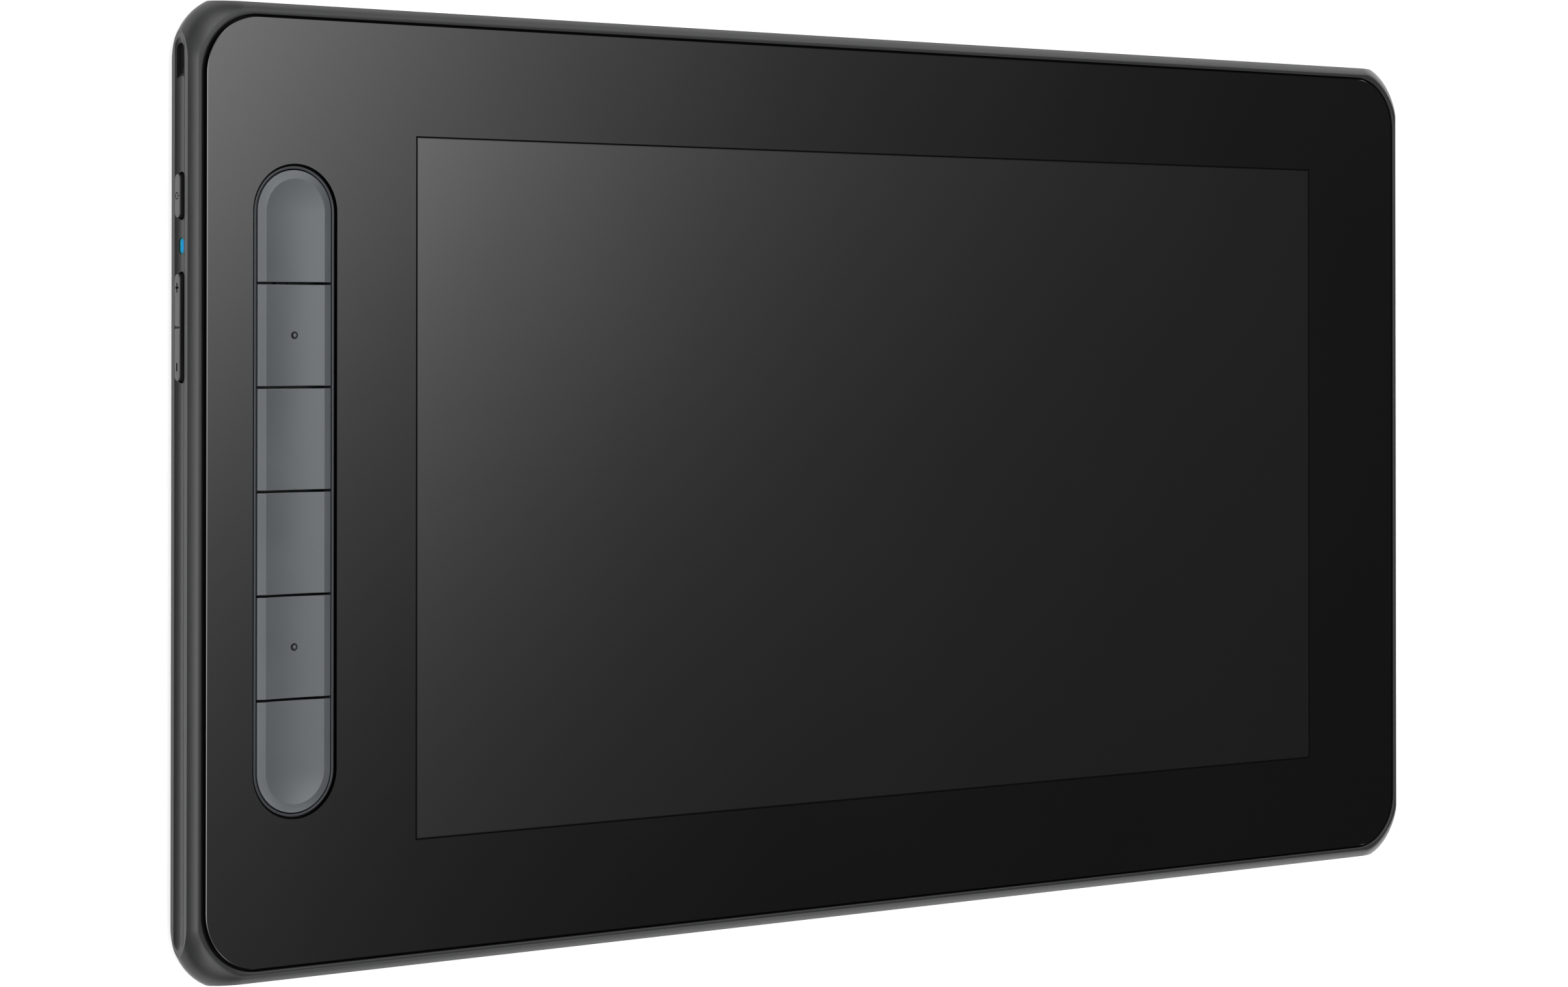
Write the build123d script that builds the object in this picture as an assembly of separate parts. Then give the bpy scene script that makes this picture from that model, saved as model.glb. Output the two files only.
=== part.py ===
from build123d import *
import math
import os

# A pen display lying on its back: a thin slab with a full-width cover glass over a 16:9 screen,
# a pill-shaped bank of six keys left of the screen, and a channel along the left side that
# holds a strap slot, a power button, a status light and a two-way brightness rocker.
# X runs along the long side to the right, Y up the screen and Z out of the glass.
# The origin is under the middle of the body, on the surface that the four feet stand on.
# A depth in this file is a distance below the front face of the glass.

# Driving sizes of the whole object
screen_width = 224.0
screen_height = 126.0
glass_left_border = 42.68
glass_right_border = 25.42
glass_end_border = 20.32
glass_corner = 10.4
glass_thickness = 1.1
side_rim = 3.0
end_rim = 2.63
foot_stand = 0.8
overrun = 1.0

# Rounded edge of the body. The rounding swells past the flat sides at the corners.
crest_drop = 0.12
crest_inset = 1.7
side_bulge = 1.2
corner_axis_inset = 10.5
crest_arm = 0.6
waist_arm = 2.1

# Shells
side_wall = 2.2
back_thickness = 1.4
plate_thickness = 1.3
glass_gap_x = 0.68
glass_gap_y = 0.33
opening_corner_gap = 0.45
opening_round = 0.2
lip_height = 1.0
lip_thickness = 1.2
lip_clearance = 0.15
rib_thickness = 1.2
rib_clearance = 0.2
rib_end_gap = 14.0
rib_place_shares = (-0.29, -0.12, 0.26)

# Channel in the left side, with its strap slot
channel_width = 3.73
channel_depth = 0.45
channel_end_margin = 6.5
slot_length = 5.6
slot_width = 2.25
slot_drop = 0.3
slot_end_margin = 1.05
slot_depth = 3.6
ramp_length = 2.3
ramp_depth = 1.5
slot_block_wall = 1.4

# Screen module
gasket_thickness = 0.2
gasket_margin = 0.6
bond_thickness = 0.1
cell_border = 4.0
cell_thickness = 1.15
cell_gap = 0.1
window_gap = 0.8
guide_thickness = 0.5
guide_margin = 0.6
tray_sheet = 0.2
tray_flange = 3.0
strip_width = 2.2
strip_thickness = 0.2
strip_clearance = 0.3
strip_led_count = 18
strip_led_length = 3.0
strip_led_width = 1.0
strip_led_height = 0.25
sensor_overhang = 1.0
sensor_thickness = 0.5
sensor_tab_reach = 5.0
sensor_tab_width = 14.0
sensor_tab_drop = 21.0
shield_inset = 1.0
shield_thickness = 0.3

# Bank of six keys
key_count = 6
bank_offset = 17.53
cutout_width = 16.97
cutout_length = 115.4
ring_gap = 0.4
ring_wall = 0.51
ring_drop = 0.28
ring_round = 0.18
ring_flange_width = 1.5
ring_flange_thickness = 0.4
ring_seat_clearance = 0.1
key_ring_gap = 0.215
key_edge_drop = 0.33
key_crown = 0.42
key_bevel_width = 1.5
key_dish_depth = 0.42
key_pitch = 18.3
key_gap = 0.45
key_travel = 0.5
key_flange_reach = 1.3
key_flange_thickness = 0.5
key_flange_clearance = 0.1
key_skin = 1.3
key_wall = 1.2
key_nib_diameter = 3.0
key_nib_height = 0.15
key_dot_diameter = 1.1
key_dot_height = 0.28
key_dot_groove = 0.22
key_dot_groove_depth = 0.16
key_dot_round = 0.2
half_share = 0.5
dotted_keys = (2, 5)

# Key board under the keys
key_board_width = 18.0
key_board_length = 116.0
key_board_thickness = 0.8
key_board_corner = 1.5
key_post_height = 1.34
key_switch_length = 6.0
key_switch_width = 3.6
key_switch_height = 0.6
key_dome_diameter = 2.6
key_dome_height = 0.3
key_switch_clearance = 0.05

# Side keys and light
side_key_width = 2.3
side_key_proud = 0.5
side_key_chamfer = 0.15
side_key_gap = 0.2
side_travel = 0.3
power_length = 8.05
power_drop = 27.75
power_flange_reach = 0.9
power_flange_rise = 0.5
power_flange_thickness = 0.8
power_flange_clearance = 0.12
power_nib_height = 0.15
power_switch_slack = 0.05
rocker_length = 19.1
rocker_drop = 50.65
rocker_inner_reach = 0.55
rocker_notch_width = 1.0
rocker_notch_depth = 0.28
rocker_angle = 1.5
rocker_nib_spread = 7.0
rocker_nib_length = 1.6
rocker_hub_radius = 1.1
rocker_pin_setback = 0.95
rocker_pin_radius = 0.5
rocker_pin_clearance = 0.08
pin_socket_depth = 0.6
pin_socket_clearance = 0.03
light_length = 2.85
light_width = 1.7
light_drop = 36.45
light_recess = 0.15
light_clearance = 0.05
light_flange_reach = 0.6
light_flange_thickness = 0.6
led_length = 1.6
led_width = 0.9
led_height = 0.7

# Board behind the side keys
side_board_thickness = 0.8
side_board_length = 46.0
side_board_drop = 41.45
side_board_clearance = 0.1
side_switch_length = 3.6
side_switch_width = 3.0
side_switch_height = 1.5
side_actuator_diameter = 1.2
side_actuator_height = 0.5
side_post_length = 3.0
side_post_width = 1.5
side_post_height = 3.2
side_post_share = 0.38

# Main board, sockets and flat cables
board_under_display = 60.2
main_board_height = 76.0
main_board_thickness = 0.8
main_board_setback = 3.4
main_board_top_gap = 11.75
main_board_corner = 2.0
board_screw_inset = 5.0
board_screw_edge = 9.5
chip_height = 1.2
chip_place_shares = ((0.37, 0.16, 0.24, 0.18), (0.79, 0.24, 0.18, 0.1), (0.39, -0.2, 0.16, 0.14),
                     (0.74, -0.08, 0.13, 0.1), (0.68, -0.32, 0.21, 0.08), (0.21, 0.34, 0.1, 0.1))
connector_height = 0.9
connector_width = 4.4
display_connector_length = 22.0
socket_width = 8.94
socket_height = 3.2
socket_length = 7.9
socket_wall = 0.3
socket_setback = 0.75
socket_mouth_clearance = 0.2
socket_tongue_thickness = 0.7
socket_tongue_width = 6.7
socket_tongue_setback = 0.8
socket_back = 1.2
socket_drops = (22.0, 8.0)
ribbon_thickness = 0.12
display_ribbon_width = 20.0
display_ribbon_run = 5.3
display_ribbon_bend = 0.6
ribbon_notch_clearance = 1.0
sensor_ribbon_width = 12.0
key_ribbon_width = 10.0
key_ribbon_drop = 20.0
key_ribbon_run = 5.0
key_ribbon_bend = 0.6
key_ribbon_floor_gap = 0.1
side_ribbon_width = 6.0
side_ribbon_drop = 7.0

# Screws
case_screw_end = 37.05
case_screw_columns = 4
case_screw_inset = 7.35
case_boss_diameter = 5.0
case_head_diameter = 3.6
case_head_height = 0.7
case_head_sink = 0.8
case_head_clearance = 0.2
case_shank_diameter = 1.9
case_shank_length = 4.2
screw_clearance = 0.05
pilot_spare = 0.5
drive_width = 0.45
drive_length_share = 0.6
drive_depth_share = 0.5
board_boss_diameter = 4.5
board_head_diameter = 3.0
board_head_height = 0.7
board_shank_diameter = 1.5
board_hole_clearance = 0.15
board_shank_sink = 0.6
board_pilot_spare = 0.15

# Feet
foot_length = 46.0
foot_width = 9.0
foot_recess = 0.4
foot_clearance = 0.1
foot_inset_x = 42.0
foot_inset_y = 17.5
foot_edge_round = 0.25

# Heights and places worked out from the sizes above
glass_width = screen_width + glass_left_border + glass_right_border
glass_height = screen_height + 2 * glass_end_border
screen_shift = (glass_left_border - glass_right_border) / 2
body_width = glass_width + 2 * side_rim
body_height = glass_height + 2 * end_rim
plate_depth = glass_thickness + gasket_thickness
plate_back = plate_depth + plate_thickness
ring_depth = plate_back + ring_flange_thickness
key_flange_depth = ring_depth + key_flange_clearance
key_base_depth = key_flange_depth + key_flange_thickness
key_nib_depth = key_base_depth + key_nib_height
dome_depth = key_nib_depth + key_travel + key_switch_clearance
key_board_depth = dome_depth + key_dome_height + key_switch_height
key_board_back = key_board_depth + key_board_thickness
body_depth = key_board_back + key_post_height + back_thickness
glass_front = foot_stand + body_depth
front_z = glass_front - crest_drop
side_middle = (front_z + foot_stand) / 2
parting_z = foot_stand + back_thickness
left_face = -body_width / 2
right_face = body_width / 2
inner_left = left_face + side_wall
inner_right = right_face - side_wall
axis_x = body_width / 2 - corner_axis_inset
axis_y = body_height / 2 - corner_axis_inset
crest_reach = corner_axis_inset - crest_inset
waist_reach = corner_axis_inset + side_bulge
channel_length = body_height - 2 * channel_end_margin
power_place = channel_length / 2 - power_drop
light_place = channel_length / 2 - light_drop
rocker_place = channel_length / 2 - rocker_drop
side_board_place = channel_length / 2 - side_board_drop
side_ribbon_place = side_board_place - side_ribbon_drop
cell_front = glass_thickness + bond_thickness
cell_back = cell_front + cell_thickness
guide_front = cell_back + cell_gap
guide_back = guide_front + guide_thickness
tray_back = guide_back + tray_sheet
sensor_back = tray_back + sensor_thickness
shield_back = sensor_back + shield_thickness
cell_width = screen_width + 2 * cell_border
cell_height = screen_height + 2 * cell_border
window_width = cell_width + 2 * window_gap
window_height = cell_height + 2 * window_gap
sensor_width = window_width + 2 * tray_sheet + 2 * sensor_overhang
sensor_height = window_height + 2 * tray_sheet + 2 * sensor_overhang
bank_x = bank_offset - glass_width / 2
ring_width = cutout_width - 2 * ring_gap
ring_length = cutout_length - 2 * ring_gap
bank_inset = 2 * (ring_gap + ring_wall + key_ring_gap)
bank_width = cutout_width - bank_inset
bank_length = cutout_length - bank_inset
socket_middle = side_middle
main_board_z = socket_middle - socket_height / 2
display_edge = screen_shift + cell_width / 2
main_board_left = display_edge - board_under_display
main_board_right = inner_right - main_board_setback
main_board_length = main_board_right - main_board_left
main_board_x = (main_board_right + main_board_left) / 2
main_board_place = (body_height - main_board_height) / 2 - side_wall - main_board_top_gap
main_board_top = main_board_place + main_board_height / 2
sensor_tab_place = main_board_place - sensor_tab_drop
key_ribbon_place = main_board_place - key_ribbon_drop
socket_places = [main_board_top - drop for drop in socket_drops]
connector_z = main_board_z + connector_height
power_nib_x = inner_left + power_flange_clearance + power_flange_thickness + power_nib_height
switch_face_x = power_nib_x + side_travel + power_switch_slack
side_board_x = switch_face_x + side_actuator_height + side_switch_height
rocker_pin_x = inner_left + rocker_pin_setback
rocker_back_x = inner_left + rocker_inner_reach
rocker_swing = rocker_nib_spread * math.sin(math.radians(rocker_angle))
case_screw_y = body_height / 2 - case_screw_inset
case_screw_spacing = (body_width - 2 * case_screw_end) / (case_screw_columns - 1)
case_screw_places = [((column - (case_screw_columns - 1) / 2) * case_screw_spacing, side * case_screw_y)
                     for side in (-1, 1) for column in range(case_screw_columns)]
board_screw_row = main_board_height / 2 - board_screw_inset
board_screw_ends = (board_screw_inset - main_board_length / 2, main_board_length / 2 - board_screw_edge)
board_screw_places = [(main_board_x + end, main_board_place + side * board_screw_row)
                      for end in board_screw_ends for side in (-1, 1)]
key_screw_places = [(bank_x, side * 2 * key_pitch) for side in (-1, 1)]
foot_places = [(side_x * (body_width / 2 - foot_inset_x), side_y * (body_height / 2 - foot_inset_y))
               for side_x in (-1, 1) for side_y in (-1, 1)]


def level(depth):
    return glass_front - depth


def raised(outline, low, high):
    return Pos(0, 0, low) * extrude(outline, high - low)


def block(low, high):
    # A box between two opposite corners
    size = [high[i] - low[i] for i in range(3)]
    middle = [(high[i] + low[i]) / 2 for i in range(3)]
    return Pos(*middle) * Box(*size)


def disc(diameter, low, high):
    return raised(Circle(diameter / 2), low, high)


def stadium(width, length):
    # An upright pill outline round the middle of the key bank
    return Pos(bank_x, 0) * SlotOverall(length, width, rotation=90)


def side_outline(length, width):
    # A pill outline standing in the side face, its length along Y
    return Plane.YZ * SlotOverall(length, width)


def side_bar(length, width, outside, inside, place, height=side_middle):
    return Pos(outside, place, height) * extrude(side_outline(length, width), inside - outside)


# The outer form that the middle frame and the rear cover share
def edge_section(shift):
    start = (shift + crest_reach, front_z)
    start_arm = (shift + crest_reach + crest_arm, front_z)
    waist_in = (shift + waist_reach, side_middle + waist_arm)
    waist = (shift + waist_reach, side_middle)
    waist_out = (shift + waist_reach, side_middle - waist_arm)
    end_arm = (shift + crest_reach + crest_arm, foot_stand)
    end = (shift + crest_reach, foot_stand)
    outline = Bezier(start, start_arm, waist_in, waist) + Bezier(waist, waist_out, end_arm, end)
    outline += Polyline(end, (0, foot_stand), (0, front_z), start)
    return make_face(Plane.XZ * outline)


def outer_form():
    long_half = extrude(edge_section(axis_x), axis_y, both=True)
    tall_half = Rot(0, 0, 90) * extrude(edge_section(axis_y), axis_x, both=True)
    form = long_half + Rot(0, 0, 180) * long_half + tall_half + Rot(0, 0, 180) * tall_half
    corner = revolve(edge_section(0), Axis.Z, 90)
    turns = ((1, 1, 0), (-1, 1, 90), (-1, -1, 180), (1, -1, 270))
    for side_x, side_y, turn in turns:
        form += Pos(side_x * axis_x, side_y * axis_y) * Rot(0, 0, turn) * corner
    middle = Pos(0, 0, side_middle) * Box(body_width, body_height, body_depth + 2 * overrun)
    return form & middle


def cavity_outline(inset):
    corner = corner_axis_inset - inset
    return RectangleRounded(body_width - 2 * inset, body_height - 2 * inset, corner)


def window_outline():
    return Pos(screen_shift, 0) * Rectangle(window_width, window_height)


def display_notch():
    reach = screen_shift + window_width / 2
    half = display_ribbon_width / 2 + ribbon_notch_clearance
    end = display_edge + display_ribbon_run + ribbon_notch_clearance
    low = (reach - overrun, main_board_place - half, level(guide_back))
    high = (end, main_board_place + half, level(cell_front))
    return block(low, high)


def channel_cutter():
    radius = ((channel_width / 2) ** 2 + channel_depth ** 2) / (2 * channel_depth)
    half = (channel_length - channel_width) / 2
    centre = left_face - radius + channel_depth
    bar = Rot(90, 0, 0) * Cylinder(radius, 2 * half)
    cutter = bar + Pos(0, half, 0) * Sphere(radius) + Pos(0, -half, 0) * Sphere(radius)
    return Pos(centre, 0, side_middle) * cutter


def slot_middle():
    return channel_length / 2 - slot_end_margin - slot_length / 2


def slot_cutter():
    height = side_middle - slot_drop
    inner_end = left_face + slot_depth
    pocket = side_bar(slot_length, slot_width, left_face - overrun, inner_end, slot_middle(), height)
    floor = left_face + channel_depth
    foot = slot_middle() - slot_length / 2
    deep = foot + ramp_length / 2
    points = [(floor, foot - ramp_length / 2), (floor + ramp_depth, deep), (left_face - overrun, deep),
              (left_face - overrun, foot - ramp_length / 2)]
    wedge = extrude(make_face(Polyline(*points, close=True)), slot_width / 2, both=True)
    return pocket + Pos(0, 0, height) * wedge


def slot_block():
    # The solid corner block that closes the strap slot off from the inside
    low_y = slot_middle() - slot_length / 2 - ramp_length / 2 - slot_block_wall
    low = (left_face + channel_depth, low_y, parting_z)
    high = (left_face + slot_depth + slot_block_wall, body_height / 2 - side_wall, level(plate_back))
    return block(low, high) & raised(cavity_outline(0), parting_z, level(plate_back))


def middle_frame():
    band = block((left_face, -body_height / 2, parting_z), (right_face, body_height / 2, glass_front))
    frame = outer_form() & band
    seat = RectangleRounded(glass_width + 2 * glass_gap_x, glass_height + 2 * glass_gap_y,
                            glass_corner + opening_corner_gap)
    frame -= raised(seat, level(plate_depth), glass_front)
    rim = frame.faces().filter_by(Axis.Z).sort_by(Axis.Z)[-1]
    frame = fillet(rim.inner_wires()[0].edges(), opening_round)
    cavity = raised(cavity_outline(side_wall), parting_z - overrun, level(plate_back))
    frame -= cavity - slot_block()
    for x, y in case_screw_places:
        frame += Pos(x, y) * disc(case_boss_diameter, parting_z, level(plate_back))
    frame -= raised(window_outline(), level(plate_back) - overrun, level(plate_depth) + overrun)
    frame -= display_notch()
    key_hole = stadium(ring_width + 2 * ring_seat_clearance, ring_length + 2 * ring_seat_clearance)
    frame -= raised(key_hole, level(plate_back) - overrun, level(plate_depth) + overrun)
    frame -= channel_cutter()
    frame -= slot_cutter()
    holes = ((power_length, power_place), (rocker_length, rocker_place))
    for length, place in holes:
        frame -= side_bar(length + 2 * side_key_gap, side_key_width + 2 * side_key_gap, left_face - overrun,
                          inner_left + overrun, place)
    frame -= side_bar(light_length + 2 * light_clearance, light_width + 2 * light_clearance,
                      left_face - overrun, inner_left + overrun, light_place)
    mouth = side_outline(socket_width + 2 * socket_mouth_clearance,
                         socket_height + 2 * socket_mouth_clearance)
    for place in socket_places:
        frame -= Pos(inner_right - overrun, place, socket_middle) * extrude(mouth, side_wall + 2 * overrun)
    pilot = case_shank_diameter + 2 * screw_clearance
    pilot_top = foot_stand + case_head_sink + case_shank_length + pilot_spare
    for x, y in case_screw_places:
        frame -= Pos(x, y) * disc(pilot, parting_z - overrun, pilot_top)
    frame -= pin_socket(level(plate_back) - overrun, level(plate_back) + pin_socket_depth)
    return frame


def pin_socket(low, high):
    return Pos(rocker_pin_x, rocker_place) * disc(2 * (rocker_pin_radius + pin_socket_clearance), low, high)


def screw_recess(x, y):
    clearance = 2 * case_head_clearance
    hole = disc(case_head_diameter + clearance, foot_stand - overrun, foot_stand + case_head_sink)
    return Pos(x, y) * (hole + disc(case_shank_diameter + clearance, foot_stand, parting_z + overrun))


def rear_cover():
    base = block((left_face, -body_height / 2, foot_stand), (right_face, body_height / 2, parting_z))
    cover = outer_form() & base
    inset = side_wall + lip_clearance
    lip = cavity_outline(inset) - cavity_outline(inset + lip_thickness)
    cover += raised(lip, parting_z, parting_z + lip_height) - slot_block_clearance()
    for x, y in board_screw_places:
        cover += Pos(x, y) * disc(board_boss_diameter, parting_z, main_board_z - main_board_thickness)
    for x, y in key_screw_places:
        cover += Pos(x, y) * disc(board_boss_diameter, parting_z, level(key_board_back))
    rib_top = level(shield_back) - rib_clearance
    rib_left = bank_x + key_board_width / 2 + rib_end_gap
    for share in rib_place_shares:
        low = (rib_left, share * body_height - rib_thickness / 2, parting_z)
        high = (main_board_left - rib_end_gap, share * body_height + rib_thickness / 2, rib_top)
        cover += block(low, high)
    for side in (-1, 1):
        place = side_board_place + side * side_post_share * side_board_length
        start = side_board_x + side_board_thickness + side_board_clearance
        low = (start, place - side_post_length / 2, parting_z)
        high = (start + side_post_width, place + side_post_length / 2, parting_z + side_post_height)
        cover += block(low, high)
    for x, y in case_screw_places:
        cover -= screw_recess(x, y)
    pilot = board_shank_diameter + 2 * screw_clearance
    for x, y in board_screw_places + key_screw_places:
        cover -= Pos(x, y) * disc(pilot, parting_z - board_shank_sink - board_pilot_spare, glass_front)
    cover -= pin_socket(parting_z - pin_socket_depth, glass_front)
    seat = SlotOverall(foot_length + 2 * foot_clearance, foot_width + 2 * foot_clearance)
    for x, y in foot_places:
        cover -= Pos(x, y) * raised(seat, foot_stand - overrun, foot_stand + foot_recess)
    return cover


def slot_block_clearance():
    low_y = slot_middle() - slot_length / 2 - ramp_length / 2 - slot_block_wall - lip_clearance
    low = (left_face, low_y, parting_z - overrun)
    reach = left_face + slot_depth + slot_block_wall + lip_clearance
    return block(low, (reach, body_height / 2, parting_z + lip_height + overrun))


def rubber_feet():
    feet = []
    for x, y in foot_places:
        foot = raised(SlotOverall(foot_length, foot_width), 0, foot_stand + foot_recess)
        feet.append(Pos(x, y) * fillet(foot.faces().sort_by(Axis.Z)[0].edges(), foot_edge_round))
    return Compound(children=feet)


# Screen module, from the glass downwards
def cover_glass():
    outline = RectangleRounded(glass_width, glass_height, glass_corner)
    return raised(outline - stadium(cutout_width, cutout_length), level(glass_thickness), glass_front)


def glass_gasket():
    outer = RectangleRounded(glass_width - 2 * gasket_margin, glass_height - 2 * gasket_margin,
                             glass_corner - gasket_margin)
    outline = outer - stadium(cutout_width + 2 * gasket_margin, cutout_length + 2 * gasket_margin)
    gasket = raised(outline - window_outline(), level(plate_depth), level(glass_thickness))
    return gasket - display_notch()


def display_adhesive():
    outline = Pos(screen_shift, 0) * Rectangle(cell_width, cell_height)
    return raised(outline, level(cell_front), level(glass_thickness))


def lcd_cell():
    outline = Pos(screen_shift, 0) * Rectangle(cell_width, cell_height)
    return raised(outline, level(cell_back), level(cell_front))


def strip_band():
    # The strip of lamps along the bottom edge: its lowest Y and its highest Y
    low = strip_clearance - window_height / 2
    return low, low + strip_width


def light_guide():
    low = strip_band()[1] + strip_clearance
    high = cell_height / 2 - guide_margin
    outline = Pos(screen_shift, (low + high) / 2) * Rectangle(cell_width - 2 * guide_margin, high - low)
    return raised(outline, level(guide_back), level(guide_front))


def backlight_strip():
    low, high = strip_band()
    length = cell_width - 2 * guide_margin
    strip = Pos(screen_shift, (low + high) / 2) * raised(Rectangle(length, high - low), level(guide_back),
                                                         level(guide_back) + strip_thickness)
    top = level(guide_back) + strip_thickness
    pitch = length / strip_led_count
    for number in range(strip_led_count):
        x = screen_shift + (number - (strip_led_count - 1) / 2) * pitch
        lamp = raised(Rectangle(strip_led_length, strip_led_width), top, top + strip_led_height)
        strip += Pos(x, high - strip_led_width / 2) * lamp
    return strip


def display_tray():
    outer = Rectangle(window_width + 2 * tray_sheet, window_height + 2 * tray_sheet)
    flange = Rectangle(window_width + 2 * tray_flange, window_height + 2 * tray_flange)
    tray = raised(outer, level(tray_back), level(plate_back))
    tray += raised(flange, level(plate_back) - tray_sheet, level(plate_back))
    tray = Pos(screen_shift, 0) * tray
    tray -= raised(window_outline(), level(guide_back), level(plate_back) + overrun)
    return tray - display_notch()


def pen_sensor_board():
    outline = Pos(screen_shift, 0) * Rectangle(sensor_width, sensor_height)
    edge = screen_shift + sensor_width / 2
    board = raised(outline, level(sensor_back), level(tray_back))
    low = (edge - overrun, sensor_tab_place - sensor_tab_width / 2, level(sensor_back))
    high = (edge + sensor_tab_reach, sensor_tab_place + sensor_tab_width / 2, level(tray_back))
    return board + block(low, high)


def shield_plate():
    outline = Rectangle(sensor_width - 2 * shield_inset, sensor_height - 2 * shield_inset)
    return Pos(screen_shift, 0) * raised(outline, level(shield_back), level(sensor_back))


# Key bank
def key_trim_ring():
    inner = stadium(ring_width - 2 * ring_wall, ring_length - 2 * ring_wall)
    wall = raised(stadium(ring_width, ring_length) - inner, level(ring_depth), level(ring_drop))
    wall = fillet(wall.faces().sort_by(Axis.Z)[-1].edges(), ring_round)
    flange = stadium(ring_width + 2 * ring_flange_width, ring_length + 2 * ring_flange_width) - inner
    return wall + raised(flange, level(ring_depth), level(plate_back))


def dish_cutter():
    half = bank_width / 2 - key_bevel_width
    radius = (half ** 2 + key_dish_depth ** 2) / (2 * key_dish_depth)
    run = bank_length / 2 - bank_width / 2
    bar = Rot(90, 0, 0) * Cylinder(radius, 2 * run)
    cutter = bar + Pos(0, run, 0) * Sphere(radius) + Pos(0, -run, 0) * Sphere(radius)
    return Pos(bank_x, 0, level(key_edge_drop) + key_crown + radius - key_dish_depth) * cutter


def key_bank():
    base = raised(stadium(bank_width, bank_length), level(key_base_depth), level(key_edge_drop))
    edge = Pos(0, 0, level(key_edge_drop)) * stadium(bank_width, bank_length)
    crown_width = bank_width - 2 * key_bevel_width
    crown_length = bank_length - 2 * key_bevel_width
    crown = Pos(0, 0, level(key_edge_drop) + key_crown) * stadium(crown_width, crown_length)
    flange = stadium(bank_width + 2 * key_flange_reach, bank_length + 2 * key_flange_reach)
    bank = base + loft([edge.face(), crown.face()])
    bank += raised(flange, level(key_base_depth), level(key_flange_depth))
    return bank - dish_cutter()


def key_span(number):
    # The lowest Y and the highest Y of one key, counted from the top of the screen
    top = (key_count / 2 - number + 1) * key_pitch - key_gap / 2
    bottom = (key_count / 2 - number) * key_pitch + key_gap / 2
    if number == 1:
        top = bank_length / 2 + key_flange_reach
    if number == key_count:
        bottom = -bank_length / 2 - key_flange_reach
    return bottom, top


def express_key(number, bank):
    bottom, top = key_span(number)
    reach = bank_width / 2 + key_flange_reach
    low = (bank_x - reach, bottom, level(key_base_depth))
    high = (bank_x + reach, top, level(key_edge_drop) + key_crown)
    key = bank & block(low, high)
    hollow_top = level(key_edge_drop) - key_skin
    body_bottom = max(bottom, -bank_length / 2)
    body_top = min(top, bank_length / 2)
    inner_width = bank_width - 2 * key_wall
    hollow_low = level(key_base_depth) - overrun
    hollow = block((bank_x - inner_width / 2, body_bottom + key_wall, hollow_low),
                   (bank_x + inner_width / 2, body_top - key_wall, hollow_top))
    key -= hollow & raised(stadium(inner_width, bank_length - 2 * key_wall), hollow_low, hollow_top)
    place = Pos(bank_x, (key_count / 2 - number + half_share) * key_pitch)
    key += place * disc(key_nib_diameter, level(key_nib_depth), hollow_top + key_skin / 2)
    if number in dotted_keys:
        key = dotted(key, place)
    return key


def dotted(key, place):
    # A raised dot in a round groove, for finding the key by touch
    floor = level(key_edge_drop) + key_crown - key_dish_depth
    groove = disc(key_dot_diameter + 2 * key_dot_groove, floor - key_dot_groove_depth, floor + overrun)
    dot = disc(key_dot_diameter, floor - key_skin / 2, floor + key_dot_height)
    dot = fillet(dot.faces().sort_by(Axis.Z)[-1].edges(), key_dot_round)
    return key - place * groove + place * dot


def key_board():
    outline = Pos(bank_x, 0) * RectangleRounded(key_board_width, key_board_length, key_board_corner)
    board = raised(outline, level(key_board_back), level(key_board_depth))
    hole = board_shank_diameter + 2 * board_hole_clearance
    for x, y in key_screw_places:
        board -= Pos(x, y) * disc(hole, level(key_board_back) - overrun, level(key_board_depth) + overrun)
    return board


def key_switches():
    switches = []
    base = raised(Rectangle(key_switch_length, key_switch_width), level(key_board_depth),
                  level(key_board_depth) + key_switch_height)
    dome = disc(key_dome_diameter, level(key_board_depth) + key_switch_height, level(dome_depth))
    for number in range(1, key_count + 1):
        centre = (key_count / 2 - number + half_share) * key_pitch
        switches.append(Pos(bank_x, centre) * (base + dome))
    return Compound(children=switches)


# Side keys and light
def power_button():
    bar_end = power_nib_x - power_nib_height
    bar = side_bar(power_length, side_key_width, left_face - side_key_proud, bar_end, power_place)
    bar = chamfer(bar.faces().sort_by(Axis.X)[0].edges(), side_key_chamfer)
    flange_x = inner_left + power_flange_clearance
    low = (flange_x, power_place - power_length / 2 - power_flange_reach,
           side_middle - side_key_width / 2 - power_flange_rise)
    high = (flange_x + power_flange_thickness, power_place + power_length / 2 + power_flange_reach,
            side_middle + side_key_width / 2 + power_flange_rise)
    flange = block(low, high)
    nib = extrude(Plane.YZ * Circle(side_actuator_diameter / 2), power_nib_height)
    return bar + flange + Pos(bar_end, power_place, side_middle) * nib


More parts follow.
